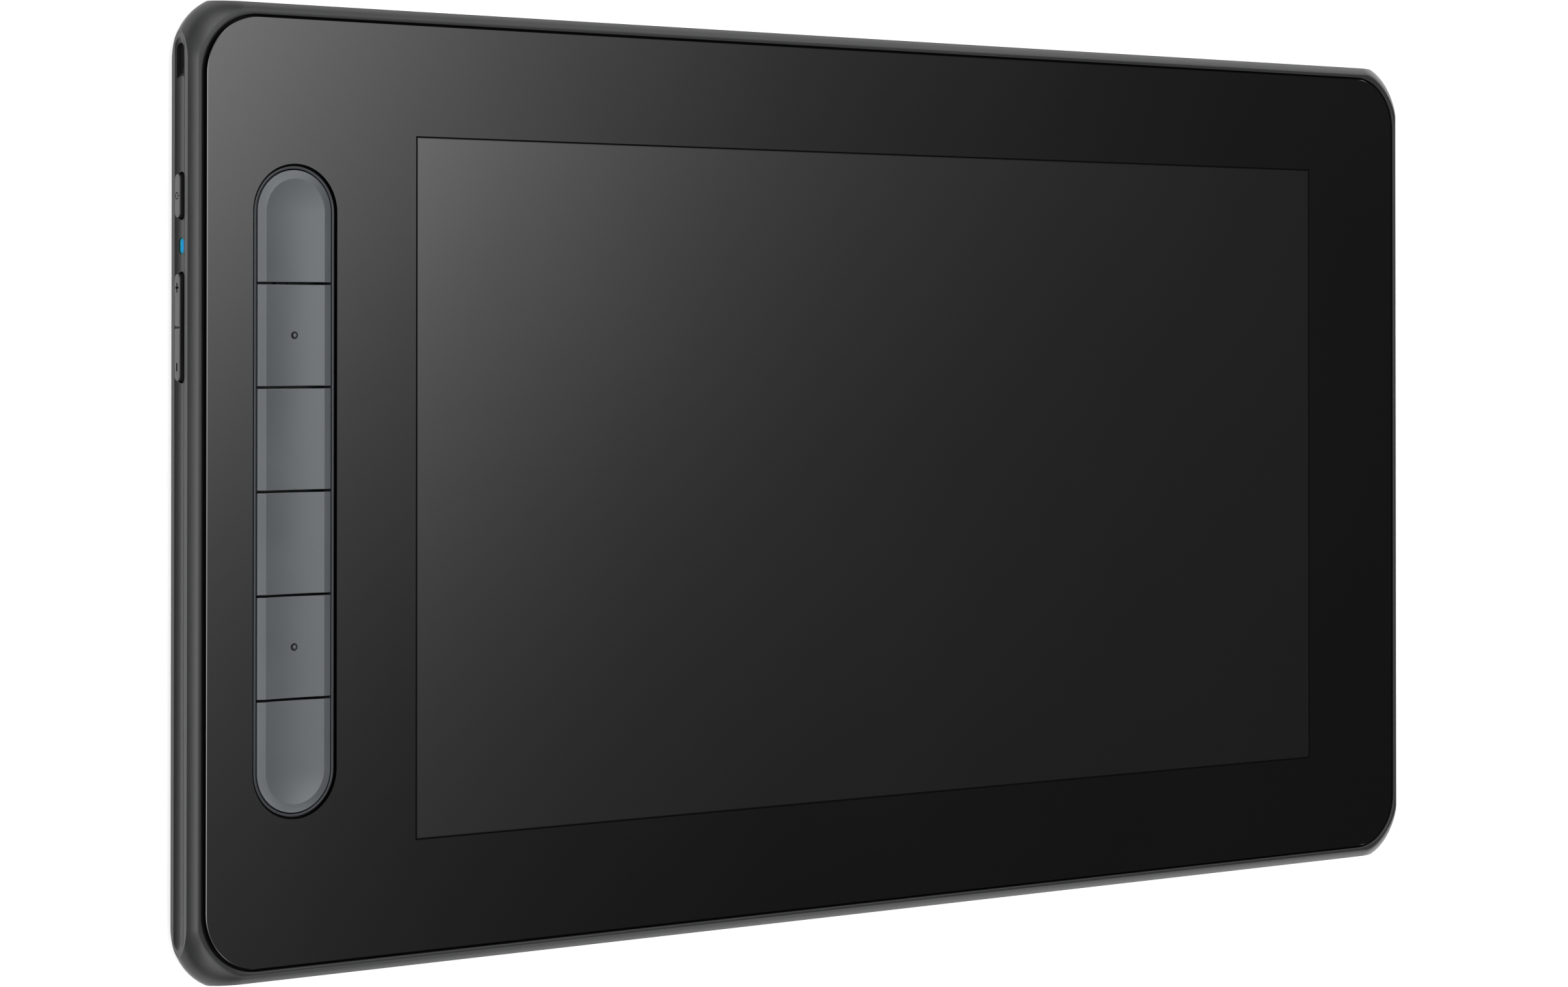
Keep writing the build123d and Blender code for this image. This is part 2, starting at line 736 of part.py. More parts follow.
def brightness_rocker():
    bar = side_bar(rocker_length, side_key_width, left_face - side_key_proud, rocker_back_x, rocker_place)
    bar = chamfer(bar.faces().sort_by(Axis.X)[0].edges(), side_key_chamfer)
    face = left_face - side_key_proud
    points = [(face, rocker_place - rocker_notch_width / 2), (face + rocker_notch_depth, rocker_place),
              (face, rocker_place + rocker_notch_width / 2)]
    notch = make_face(Polyline(*points, close=True))
    bar -= Pos(0, 0, side_middle) * extrude(notch, side_key_width, both=True)
    low_z = side_middle - side_key_width / 2
    high_z = side_middle + side_key_width / 2
    hub = Pos(rocker_pin_x, rocker_place)
    bar += hub * disc(2 * rocker_hub_radius, low_z, high_z)
    nib_x = switch_face_x - rocker_swing - power_switch_slack
    for side in (-1, 1):
        place = rocker_place + side * rocker_nib_spread
        low = (rocker_back_x, place - rocker_nib_length / 2, side_middle - side_actuator_diameter / 2)
        high = (nib_x, place + rocker_nib_length / 2, side_middle + side_actuator_diameter / 2)
        bar += block(low, high)
    bore = 2 * (rocker_pin_radius + rocker_pin_clearance)
    return bar - hub * disc(bore, low_z - overrun, high_z + overrun)


def rocker_pin():
    low = parting_z - pin_socket_depth + pin_socket_clearance
    high = level(plate_back) + pin_socket_depth - pin_socket_clearance
    return Pos(rocker_pin_x, rocker_place) * disc(2 * rocker_pin_radius, low, high)


def status_light_pipe():
    outside = left_face + channel_depth + light_recess
    pipe = side_bar(light_length, light_width, outside, inner_left + light_flange_thickness, light_place)
    flange = side_bar(light_length + 2 * light_flange_reach, light_width + 2 * light_flange_reach,
                      inner_left, inner_left + light_flange_thickness, light_place)
    return pipe + flange


def status_led():
    low = (side_board_x - led_height, light_place - led_length / 2, side_middle - led_width / 2)
    return block(low, (side_board_x, light_place + led_length / 2, side_middle + led_width / 2))


def side_board():
    low = (side_board_x, side_board_place - side_board_length / 2, parting_z + side_board_clearance)
    high = (side_board_x + side_board_thickness, side_board_place + side_board_length / 2,
            level(plate_back) - side_board_clearance)
    return block(low, high)


def side_switches():
    switches = []
    places = (power_place, rocker_place - rocker_nib_spread, rocker_place + rocker_nib_spread)
    for place in places:
        low = (side_board_x - side_switch_height, place - side_switch_length / 2,
               side_middle - side_switch_width / 2)
        high = (side_board_x, place + side_switch_length / 2, side_middle + side_switch_width / 2)
        actuator = extrude(Plane.YZ * Circle(side_actuator_diameter / 2), side_actuator_height)
        switches.append(block(low, high) + Pos(switch_face_x, place, side_middle) * actuator)
    return Compound(children=switches)


# Main board and what it carries
def main_board():
    outline = Pos(main_board_x, main_board_place) * RectangleRounded(main_board_length, main_board_height,
                                                                      main_board_corner)
    board = raised(outline, main_board_z - main_board_thickness, main_board_z)
    hole = board_shank_diameter + 2 * board_hole_clearance
    for x, y in board_screw_places:
        board -= Pos(x, y) * disc(hole, foot_stand, main_board_z + overrun)
    return board


def board_chips():
    chips = []
    for share_x, share_y, length_share, width_share in chip_place_shares:
        outline = Rectangle(length_share * board_under_display, width_share * main_board_height)
        x = main_board_left + share_x * board_under_display
        y = main_board_place + share_y * main_board_height
        chips.append(Pos(x, y) * raised(outline, main_board_z, main_board_z + chip_height))
    return Compound(children=chips)


def display_ribbon_x():
    return display_edge + display_ribbon_run


def sensor_ribbon_x():
    return screen_shift + sensor_width / 2 + sensor_tab_reach


def board_connectors():
    display = raised(Rectangle(connector_width, display_connector_length), main_board_z, connector_z)
    sensor = raised(Rectangle(connector_width, sensor_tab_width), main_board_z, connector_z)
    display_x = display_ribbon_x() + display_ribbon_bend + connector_width / 2
    sensor_x = sensor_ribbon_x() - connector_width / 2
    return Compound(children=[Pos(display_x, main_board_place) * display,
                              Pos(sensor_x, sensor_tab_place) * sensor])


def usb_socket(place):
    front = right_face - socket_setback
    shell = extrude(side_outline(socket_width, socket_height), socket_length)
    mouth = side_outline(socket_width - 2 * socket_wall, socket_height - 2 * socket_wall)
    shell -= Pos(socket_back, 0, 0) * extrude(mouth, socket_length)
    low = (0, -socket_tongue_width / 2, -socket_tongue_thickness / 2)
    high = (socket_length - socket_tongue_setback, socket_tongue_width / 2, socket_tongue_thickness / 2)
    return Pos(front - socket_length, place, socket_middle) * (shell + block(low, high))


def ribbon(path, width, place):
    # A flat cable: a thick line drawn in X and Z, given its width along Y
    band = trace(path, ribbon_thickness)
    return Pos(0, place, 0) * extrude(Plane.XZ * band, width / 2, both=True)


def display_ribbon():
    half = ribbon_thickness / 2
    start_z = (level(cell_front) + level(cell_back)) / 2
    x = display_ribbon_x()
    end = x + display_ribbon_bend + connector_width
    path = FilletPolyline((display_edge, start_z), (x, start_z), (x, connector_z + half),
                          (end, connector_z + half), radius=display_ribbon_bend)
    return ribbon(path, display_ribbon_width, main_board_place)


def sensor_ribbon():
    half = ribbon_thickness / 2
    high = level(sensor_back) - half
    low = connector_z + half
    end = sensor_ribbon_x()
    bend = (high - low) / 2
    path = Line((end - connector_width, high), (end, high))
    path += ThreePointArc((end, high), (end + bend, (high + low) / 2), (end, low))
    path += Line((end, low), (end - connector_width, low))
    return ribbon(path, sensor_ribbon_width, sensor_tab_place)


def key_ribbon():
    floor = parting_z + key_ribbon_floor_gap + ribbon_thickness / 2
    start = bank_x + key_board_width / 2
    end = main_board_left
    start_z = (level(key_board_depth) + level(key_board_back)) / 2
    end_z = main_board_z - main_board_thickness / 2
    end_bend = (end_z - floor) / 2
    turn = start + key_ribbon_run
    path = FilletPolyline((start, start_z), (turn, start_z), (turn, floor), (end - key_ribbon_run, floor),
                          radius=key_ribbon_bend)
    path += FilletPolyline((end - key_ribbon_run, floor), (end - key_ribbon_run / 2, floor),
                           (end - key_ribbon_run / 2, end_z), (end, end_z), radius=end_bend)
    return ribbon(path, key_ribbon_width, key_ribbon_place)


def side_ribbon():
    start = side_board_x + side_board_thickness
    end = bank_x - key_board_width / 2
    middle = (level(key_board_depth) + level(key_board_back)) / 2
    low = (start, side_ribbon_place - side_ribbon_width / 2, middle - ribbon_thickness / 2)
    return block(low, (end, side_ribbon_place + side_ribbon_width / 2, middle + ribbon_thickness / 2))


# Fasteners
def cross_recess(head_diameter, head_height, face, inward):
    long_side = drive_length_share * head_diameter
    depth = drive_depth_share * head_height
    cross = Rectangle(long_side, drive_width) + Rectangle(drive_width, long_side)
    if inward > 0:
        return raised(cross, face - overrun, face + depth)
    return raised(cross, face - depth, face + overrun)


def case_screws():
    screws = []
    head_back = foot_stand + case_head_sink - case_head_height
    head = disc(case_head_diameter, head_back, head_back + case_head_height)
    shank = disc(case_shank_diameter, head_back, foot_stand + case_head_sink + case_shank_length)
    screw = head + shank - cross_recess(case_head_diameter, case_head_height, head_back, 1)
    for x, y in case_screw_places:
        screws.append(Pos(x, y) * screw)
    return Compound(children=screws)


def board_screws():
    screws = []
    groups = ((board_screw_places, main_board_z), (key_screw_places, level(key_board_depth)))
    for places, seat in groups:
        top = seat + board_head_height
        head = disc(board_head_diameter, seat, top)
        shank = disc(board_shank_diameter, parting_z - board_shank_sink, top)
        screw = head + shank - cross_recess(board_head_diameter, board_head_height, top, -1)
        for x, y in places:
            screws.append(Pos(x, y) * screw)
    return Compound(children=screws)


def write(name, shape):
    export_step(shape, f"parts/{name}.step")
    print(name, "volume", round(shape.volume, 2))


os.makedirs("parts", exist_ok=True)
pieces = (middle_frame, rear_cover, rubber_feet, cover_glass, glass_gasket, display_adhesive, lcd_cell,
          light_guide, backlight_strip, display_tray, pen_sensor_board, shield_plate, key_trim_ring,
          key_board, key_switches, power_button, brightness_rocker, rocker_pin, status_light_pipe,
          status_led, side_board, side_switches, main_board, board_chips, board_connectors,
          display_ribbon, sensor_ribbon, key_ribbon, side_ribbon, case_screws, board_screws)
for piece in pieces:
    write(piece.__name__, piece())
for name, place in zip(("usb_c_socket_lower", "usb_c_socket_upper"), socket_places):
    write(name, usb_socket(place))
whole_bank = key_bank()
for number in range(1, key_count + 1):
    write(f"express_key_{number}", express_key(number, whole_bank))
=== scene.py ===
# A pen display lying on its back: the pieces that show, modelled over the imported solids.
# Lengths in the dictionaries are millimetres, but metres in those of the view and the stage. Colours are linear.
import math

import bmesh
import bpy
from mathutils import Matrix, Vector


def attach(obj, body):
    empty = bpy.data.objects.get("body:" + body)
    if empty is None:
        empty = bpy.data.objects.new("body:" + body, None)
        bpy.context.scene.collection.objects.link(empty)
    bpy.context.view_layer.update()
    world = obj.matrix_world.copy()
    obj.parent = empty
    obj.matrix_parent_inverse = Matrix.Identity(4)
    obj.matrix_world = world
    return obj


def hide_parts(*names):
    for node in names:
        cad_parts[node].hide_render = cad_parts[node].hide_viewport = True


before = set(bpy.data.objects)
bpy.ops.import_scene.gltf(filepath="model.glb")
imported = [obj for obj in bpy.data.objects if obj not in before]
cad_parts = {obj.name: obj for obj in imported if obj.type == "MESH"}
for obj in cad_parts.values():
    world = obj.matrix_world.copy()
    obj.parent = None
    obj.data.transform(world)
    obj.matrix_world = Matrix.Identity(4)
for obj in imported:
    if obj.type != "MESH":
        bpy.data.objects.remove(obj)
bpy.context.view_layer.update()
mm = 0.001
past = 1.0  # how far a cutter reaches beyond the face it opens
close = 1e-3  # two heights nearer than this are the same


# Modelling helpers
def objectMode():
    if bpy.context.object and bpy.context.object.mode != "OBJECT":
        bpy.ops.object.mode_set(mode="OBJECT")
    bpy.ops.object.select_all(action="DESELECT")


def onlySelect(*pieces):
    objectMode()
    for piece in pieces:
        piece.select_set(True)
    bpy.context.view_layer.objects.active = pieces[0]


def edit(piece):
    onlySelect(piece)
    bpy.ops.object.mode_set(mode="EDIT")


def pick(kind, test):
    # In edit mode: selects the verts, edges or faces that pass the test, which is given their middle in mm
    mesh = bpy.context.object.data
    bpy.ops.mesh.select_all(action="DESELECT")
    bpy.ops.mesh.select_mode(type=kind[:-1].upper())
    grid = bmesh.from_edit_mesh(mesh)
    for item in getattr(grid, kind):
        if kind == "verts":
            hit = test(item.co / mm)
        elif kind == "edges":
            hit = test((item.verts[0].co + item.verts[1].co) / 2 / mm,
                       (item.verts[1].co - item.verts[0].co).normalized())
        else:
            hit = test(item.calc_center_median() / mm, item.normal)
        if hit:
            item.select = True
    grid.select_flush_mode()
    bmesh.update_edit_mesh(mesh)


def applyPlace(piece):
    onlySelect(piece)
    bpy.ops.object.transform_apply(location=True, rotation=True, scale=True)


def roundedFace(name, size, radius, z, centre=(0, 0), segments=16):
    # A flat face with round corners, left selected in edit mode
    objectMode()
    bpy.ops.mesh.primitive_plane_add(size=1, location=(centre[0] * mm, centre[1] * mm, z * mm))
    piece = bpy.context.object
    piece.name = piece.data.name = name
    piece.scale = (size[0] * mm, size[1] * mm, 1)
    applyPlace(piece)
    edit(piece)
    bpy.ops.mesh.select_all(action="SELECT")
    if radius:
        bpy.ops.mesh.bevel(offset=radius * mm, offset_type="OFFSET", segments=segments, affect="VERTICES",
                           clamp_overlap=False)
        bpy.ops.mesh.select_all(action="SELECT")
        bpy.ops.mesh.remove_doubles(threshold=1e-6)
    bpy.ops.mesh.select_mode(type="FACE")
    bpy.ops.mesh.select_all(action="SELECT")
    return piece


def pillFace(name, size, z, centre=(0, 0), segments=24):
    return roundedFace(name, size, min(size) / 2, z, centre, segments)


def rise(height):
    # Extrudes the selected face straight up or down
    bpy.ops.mesh.extrude_region_move(TRANSFORM_OT_translate={"value": (0, 0, height * mm)})


def stepIn(steps):
    # Each step narrows the selected face by the first number and moves it along its normal by the second
    for inward, along in steps:
        bpy.ops.mesh.inset(thickness=inward * mm, depth=along * mm, use_even_offset=True, use_boundary=True)


def roundOver(radius, count=4, down=False):
    # Steps of a quarter round, from the wall over to the top, or from the top down into a wall
    turns = [math.pi / 2 * i / count for i in range(count + 1)]
    steps = [(radius * (math.cos(a) - math.cos(b)), radius * (math.sin(b) - math.sin(a)))
             for a, b in zip(turns, turns[1:])]
    return [(along, -inward) for inward, along in steps] if down else steps


def sliceOff(place, outward):
    # Cuts off and closes what lies beyond a plane; the small threshold keeps the verts near it where they are
    bpy.ops.mesh.select_all(action="SELECT")
    bpy.ops.mesh.bisect(plane_co=[value * mm for value in place], plane_no=outward, use_fill=True, clear_outer=True,
                        threshold=1e-7)


def closeUp():
    bpy.ops.mesh.select_all(action="SELECT")
    bpy.ops.mesh.normals_make_consistent(inside=False)
    bpy.ops.object.mode_set(mode="OBJECT")


def standOn(piece, side, y, z, x):
    # Turns a piece modelled flat so that its top looks out of the left (-1) or right (1) side
    piece.rotation_euler = (math.pi / 2, 0, side * math.pi / 2)
    piece.location = (x * mm, y * mm, z * mm)
    applyPlace(piece)
    return piece


def cut(piece, *cutters, operation="DIFFERENCE"):
    for cutter in cutters:
        onlySelect(piece)
        bpy.ops.object.modifier_add(type="BOOLEAN")
        extra = piece.modifiers[-1]
        extra.object, extra.operation, extra.solver = cutter, operation, "EXACT"
        bpy.ops.object.modifier_apply(modifier=extra.name)
        bpy.data.objects.remove(cutter)


def join(*pieces):
    onlySelect(*pieces)
    bpy.ops.object.join()
    return pieces[0]


def box(name, low, high):
    # A plain block that only ever cuts
    objectMode()
    bpy.ops.mesh.primitive_cube_add(size=1, location=[(a + b) / 2 * mm for a, b in zip(low, high)])
    piece = bpy.context.object
    piece.name = name
    piece.scale = [(b - a) * mm for a, b in zip(low, high)]
    applyPlace(piece)
    return piece


def prism(name, size, radius, low, high, centre=(0, 0), flare=0, above=past, segments=16):
    # A rounded block that cuts; with a flare it leaves a rounded edge at the height of its top
    piece = roundedFace(name, (size[0] + 2 * flare, size[1] + 2 * flare), radius + flare if radius else 0,
                        high + above, centre, segments)
    if above:
        rise(-above)
    if flare:
        stepIn(roundOver(flare, 9, down=True))
    rise(low - high + flare)
    closeUp()
    return piece


def finishPiece(piece, body, slot, material, *nodes, angle=18):
    onlySelect(piece)
    bpy.ops.object.shade_smooth_by_angle(angle=math.radians(angle))
    piece.data.materials.clear()
    piece.data.materials.append(material)
    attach(piece, body)
    if nodes:
        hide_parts(*nodes)


# Material helpers
class Wire:
    # A socket that can stand in a sum
    def __init__(self, graph, socket):
        self.graph, self.socket = graph, socket

    def __add__(self, other):
        return self.graph.math("ADD", self, other)

    def __sub__(self, other):
        return self.graph.math("SUBTRACT", self, other)

    def __rsub__(self, other):
        return self.graph.math("SUBTRACT", other, self)

    def __mul__(self, other):
        return self.graph.math("MULTIPLY", self, other)

    def __truediv__(self, other):
        return self.graph.math("DIVIDE", self, other)

    def __rtruediv__(self, other):
        return self.graph.math("DIVIDE", other, self)

    def __abs__(self):
        return self.graph.math("ABSOLUTE", self)

    __radd__ = __add__
    __rmul__ = __mul__


class Graph:
    def __init__(self, tree):
        self.tree = tree
        tree.nodes.clear()

    def node(self, kind, settings=None, values=None, out=0):
        made = self.tree.nodes.new("ShaderNode" + kind)
        for key, value in (settings or {}).items():
            setattr(made, key, value)
        for key, value in (values or {}).items():
            if isinstance(value, Wire):
                self.tree.links.new(value.socket, made.inputs[key])
            else:
                made.inputs[key].default_value = value
        return Wire(self, made.outputs[out]) if len(made.outputs) else None

    def math(self, operation, *values):
        return self.node("Math", {"operation": operation}, dict(enumerate(values)))

    def most(self, first, second):
        return self.math("MAXIMUM", first, second)

    def away(self, x, y):
        return self.math("SQRT", x * x + y * y)

    def place(self):
        return self.node("TexCoord", out="Object")

    def axes(self, vector):
        split = self.node("SeparateXYZ", values={0: vector}).socket.node
        return [Wire(self, socket) for socket in split.outputs]

    def ray(self, kind):
        return self.node("LightPath", out="Is %s Ray" % kind)

    def noise(self, vector, scale, detail):
        return self.node("TexNoise", values={"Vector": vector, "Scale": scale, "Detail": detail, "Roughness": 0.55})

    def bump(self, height, strength, depth):
        return self.node("Bump", values={"Strength": strength, "Distance": depth * mm, "Height": height})

    def band(self, value, low, high, start=0, end=1):
        # Eases from start to end while the value goes from low to high
        return self.node("MapRange", {"interpolation_type": "SMOOTHSTEP"},
                         {"Value": value, "From Min": low, "From Max": high, "To Min": start, "To Max": end})

    def mix(self, mask, first, second):
        # Two colours, by a mask
        return self.node("Mix", {"data_type": "RGBA"}, {0: mask, 6: tint(first), 7: tint(second)}, out=2)


def tint(colour):
    return colour if isinstance(colour, Wire) else (*colour, 1)


def paint(name):
    material = bpy.data.materials.new(name)
    material.use_nodes = True
    return material, Graph(material.node_tree)


def finishPaint(graph, sockets, mask=None, under=None):
    # One coat, or two where a mask lets the second show
    shader = graph.node("BsdfPrincipled", values=sockets)
    if mask:
        shader = graph.node("MixShader", values={0: mask, 1: shader, 2: graph.node("BsdfPrincipled", values=under)})
    graph.node("OutputMaterial", values={"Surface": shader})


def clouded(graph, clouds, look):
    return graph.mix(graph.band(clouds, 0.3, 0.7), look["dark"], look["light"])


def handled(graph, clouds, grain, look):
    # Roughness with a little polish where hands rub
    return graph.band(clouds + grain * 0.4, 0.4, 1.0, *look["rough"])


def grained(name, look, shade=None):
    # Moulded plastic, rubber or paint: fine grain, faint clouding and specks; a shade function, where given, adds a
    # coat of painted shade by its mask
    material, graph = paint(name)
    place = graph.place()
    clouds = graph.noise(place, look["cloudScale"], 4)
    grain = graph.noise(place, look["grainScale"], 2)
    specks = graph.noise(place, look["grainScale"] * 0.31, 1)
    colour = clouded(graph, clouds, look)
    colour = graph.mix(graph.band(specks, 0.55, 0.8, 0, look["speckle"]), colour, look["speckColour"])
    mask, under = shade(graph, place, grain) if shade else (None, None)
    finishPaint(graph, {"Base Color": colour, "Roughness": handled(graph, clouds, grain, look),
                        "Normal": graph.bump(grain + specks * 0.6, look["grain"], look["grainDepth"]),
                        "IOR": look.get("ior", 1.5), "Specular IOR Level": look.get("specular", 0.5),
                        "Specular Tint": tint(look.get("tint", (1, 1, 1)))}, mask, under)
    return material


# Looks of the plastics and the rubber
frameLook = {"dark": (0.020, 0.0205, 0.021), "light": (0.025, 0.0255, 0.026), "cloudScale": 18,
             "grainScale": 5200, "speckle": 0.25, "speckColour": (0.036, 0.037, 0.038), "rough": (0.28, 0.34),
             "grain": 0.25, "grainDepth": 0.02, "ior": 1.5}
backLook = dict(frameLook, grainScale=3400, rough=(0.42, 0.52), grain=0.5, grainDepth=0.03)
keyLook = {"dark": (0.079, 0.085, 0.090), "light": (0.087, 0.093, 0.098), "cloudScale": 60, "grainScale": 7000,
           "speckle": 0.2, "speckColour": (0.10, 0.11, 0.12), "rough": (0.30, 0.37), "grain": 0.22,
           "grainDepth": 0.015, "ior": 1.78, "tint": (0.90, 0.97, 1.0)}
ringLook = dict(frameLook, dark=(0.026, 0.029, 0.033), light=(0.031, 0.034, 0.039), rough=(0.26, 0.33))
sideKeyLook = dict(keyLook, dark=(0.068, 0.068, 0.069), light=(0.077, 0.077, 0.078), rough=(0.32, 0.40))
rubberLook = {"dark": (0.014, 0.014, 0.014), "light": (0.022, 0.022, 0.021), "cloudScale": 90, "grainScale": 2600,
              "speckle": 0.4, "speckColour": (0.05, 0.05, 0.048), "rough": (0.7, 0.85), "grain": 0.6,
              "grainDepth": 0.05, "specular": 0.3}

# Sizes that more than one piece needs
body = {"halfX": 149.05, "halfY": 85.95, "axisInset": 10.5, "crest": 8.8, "crestArm": 0.6, "waist": 11.7,
        "waistArm": 2.1, "waistBand": 0.02, "flatStep": 0.5, "frontZ": 9.42, "backZ": 0.8, "partZ": 2.2,
        "curveSteps": 22, "curveBunch": 1.5, "cornerSteps": 40, "cornerEase": 1.08, "easeBunch": 1.25, "wall": 2.2}
glass = {"front": 9.54, "thick": 1.1, "halfX": 146.05, "halfY": 83.32, "corner": 10.4, "chamfer": (0.11, 0.085),
         "rimStep": 0.4, "gapX": 0.68, "gapY": 0.33, "cornerGap": 0.45, "lipRound": 0.45, "plateDepth": 1.3,
         "plateBack": 2.6}
screen = {"x": 8.63, "width": 224.0, "height": 126.0, "window": (233.6, 135.6)}
bank = {"x": -128.52, "cutout": (16.97, 115.4), "keys": (14.72, 113.15), "count": 6, "pitch": 18.3, "gap": 0.45,
        "baseDepth": 3.6, "edgeDrop": 0.33, "edgeTurn": 0.06, "bevel": 1.5, "crown": 0.42, "crestIn": 0.1,
        "crestRise": 0.02, "crestDrop": 0.008, "lipIn": 0.08, "lipDrop": 0.012, "dish": 0.42, "dishFlat": 0.3,
        "dishSteps": 14, "gapRound": 0.12, "gapRoundDown": 0.7, "around": 32}
ring = {"size": (16.17, 114.6), "wall": 0.51, "drop": 0.28, "turn": 0.18, "depth": 3.0, "gap": 0.2}
dot = {"keys": (2, 5), "y": 27.45, "across": 0.94, "high": 0.24, "sunk": 0.2, "turn": 0.2, "top": (0.15, 0.02),
       "groove": 1.36, "grooveDeep": 0.18, "around": 8}
channel = {"width": 3.73, "depth": 0.45, "length": 158.9, "around": 96}
slot = {"y": 76.05, "length": 4.7, "width": 2.25, "drop": 0.3, "deep": 3.6, "wall": 1.4, "ramp": 2.3,
        "rampDeep": 1.5, "rampReach": 1.8, "rampBack": 0.8, "rampWide": 3}
sideKeys = {"power": {"y": 51.7, "length": 8.05}, "rocker": {"y": 28.8, "length": 19.1}, "width": 2.3, "gap": 0.2,
            "holeDeep": 4, "slim": 0.5, "proud": 0.486, "turn": 0.15, "topStep": 0.2, "innerX": -144.4,
            "notch": (1.0, 0.28)}
light = {"y": 43.0, "size": (2.85, 1.7), "recess": 0.08, "gap": 0.04, "turn": 0.12, "top": ((0.3, 0.02), (0.25, 0))}
sockets = {"places": (50.0, 64.0), "size": (9.24, 3.5), "flare": 0.2}
middleZ = (body["frontZ"] + body["backZ"]) / 2
keyFaceX = -body["halfX"] - sideKeys["proud"]


# The rounded slab that the frame and the back are parts of
def edgeCurve():
    # Points of the rounded edge from the waist up to the crest: (reach from the corner axis, height over the waist)
    half = body["frontZ"] - middleZ
    ends = ((body["waist"], 0), (body["waist"], body["waistArm"]), (body["crest"] + body["crestArm"], half),
            (body["crest"], half))
    points = []
    for i in range(body["curveSteps"] + 1):
        t = 1 - (1 - i / body["curveSteps"]) ** body["curveBunch"]  # closer together near the crest
        shares = ((1 - t) ** 3, 3 * t * (1 - t) ** 2, 3 * t ** 2 * (1 - t), t ** 3)
        points.append(tuple(sum(share * end[k] for share, end in zip(shares, ends)) for k in (0, 1)))
    return points


def heightSteps(points):
    return [(a[0] - b[0], b[1] - a[1]) for a, b in zip(points, points[1:])]


def easeCorners():
    # Over the waist the corners draw in, most at their middle, so that the crest keeps close to the glass
    axis = [body[half] - body["axisInset"] for half in ("halfX", "halfY")]
    mesh = bpy.context.object.data
    grid = bmesh.from_edit_mesh(mesh)
    for vert in grid.verts:
        out = [abs(vert.co[k]) / mm - axis[k] for k in (0, 1)]
        reach = math.hypot(*out)
        if vert.co.z < middleZ * mm or min(out) < -close or not reach:
            continue
        share = (body["waist"] - reach) / (body["waist"] - body["crest"])
        middle = max(0, 2 * out[0] * out[1] / reach ** 2)  # 1 half way round the corner
        draw = body["cornerEase"] * share * middle ** body["easeBunch"] / reach
        for k in (0, 1):
            vert.co[k] -= math.copysign(out[k] * draw * mm, vert.co[k])
    bmesh.update_edit_mesh(mesh)


def bodyForm(name, low, high):
    # The slab between two heights: its upper curve and its lower one are alike, and four flat sides trim it
    size = [2 * (body[half] - body["axisInset"] + body["waist"]) for half in ("halfX", "halfY")]
    piece = roundedFace(name, size, body["waist"], middleZ - body["waistBand"], segments=body["cornerSteps"])
    rise(body["waistBand"])
    pick("faces", lambda middle, normal: normal.z > 0.9)
    stepIn(heightSteps(edgeCurve()))
    easeCorners()
    pick("faces", lambda middle, normal: normal.z < -0.9)
    stepIn(heightSteps(edgeCurve()))
    stepIn([(body["flatStep"], 0)])
    for x, y in ((1, 0), (-1, 0), (0, 1), (0, -1)):
        sliceOff((x * body["halfX"], y * body["halfY"], 0), (x, y, 0))
    for height, side in ((low, -1), (high, 1)):
        if height is not None:
            sliceOff((0, 0, height), (0, 0, side))
    closeUp()
    return piece


# The frame, with the channel in its left side and the mouths of the sockets in its right side
def openFront(shell):
    # The seat of the glass, the room under it, and the holes for the screen and the keys
    opening = (2 * (glass["halfX"] + glass["gapX"]), 2 * (glass["halfY"] + glass["gapY"]))
    plateTop, plateLow = glass["front"] - glass["plateDepth"], glass["front"] - glass["plateBack"]
    seat = prism("seat", opening, glass["corner"] + glass["cornerGap"], plateTop, body["frontZ"],
                 flare=glass["lipRound"], segments=body["cornerSteps"])
    hollow = [2 * (body[half] - body["wall"]) for half in ("halfX", "halfY")]
    cavity = prism("cavity", hollow, body["axisInset"] - body["wall"], body["partZ"] - past, plateLow, above=0)
    foot = slot["y"] - slot["length"] / 2
    slotBlock = box("slotBlock", (-body["halfX"] - past, foot - slot["ramp"] / 2 - slot["wall"],
                                  body["partZ"] - 2 * past),
                    (-body["halfX"] + slot["deep"] + slot["wall"], body["halfY"] + past, plateLow + past))
    cut(cavity, slotBlock)
    window = prism("window", screen["window"], 0, plateLow - past, plateTop + past, centre=(screen["x"], 0))
    hole = [side + ring["gap"] for side in ring["size"]]
    keyHole = prism("keyHole", hole, hole[0] / 2, plateLow - past, plateTop + past, centre=(bank["x"], 0),
                    segments=bank["around"])
    cut(shell, seat, cavity, window, keyHole)


def capsule(name, radius, length, centre):
    # A bar along Y with ball ends that hollows the channel
    objectMode()
    bpy.ops.mesh.primitive_uv_sphere_add(segments=channel["around"], ring_count=channel["around"] // 2 + 1,
                                         radius=radius * mm)
    piece = bpy.context.object
    piece.name = name
    piece.rotation_euler = (math.pi / 2, 0, 0)
    applyPlace(piece)
    edit(piece)
    for side in (-1, 1):
        pick("verts", lambda place: place.y * side > 0)
        bpy.ops.transform.translate(value=(0, side * length / 2 * mm, 0))
    closeUp()
    piece.location = [value * mm for value in centre]
    applyPlace(piece)
    return piece


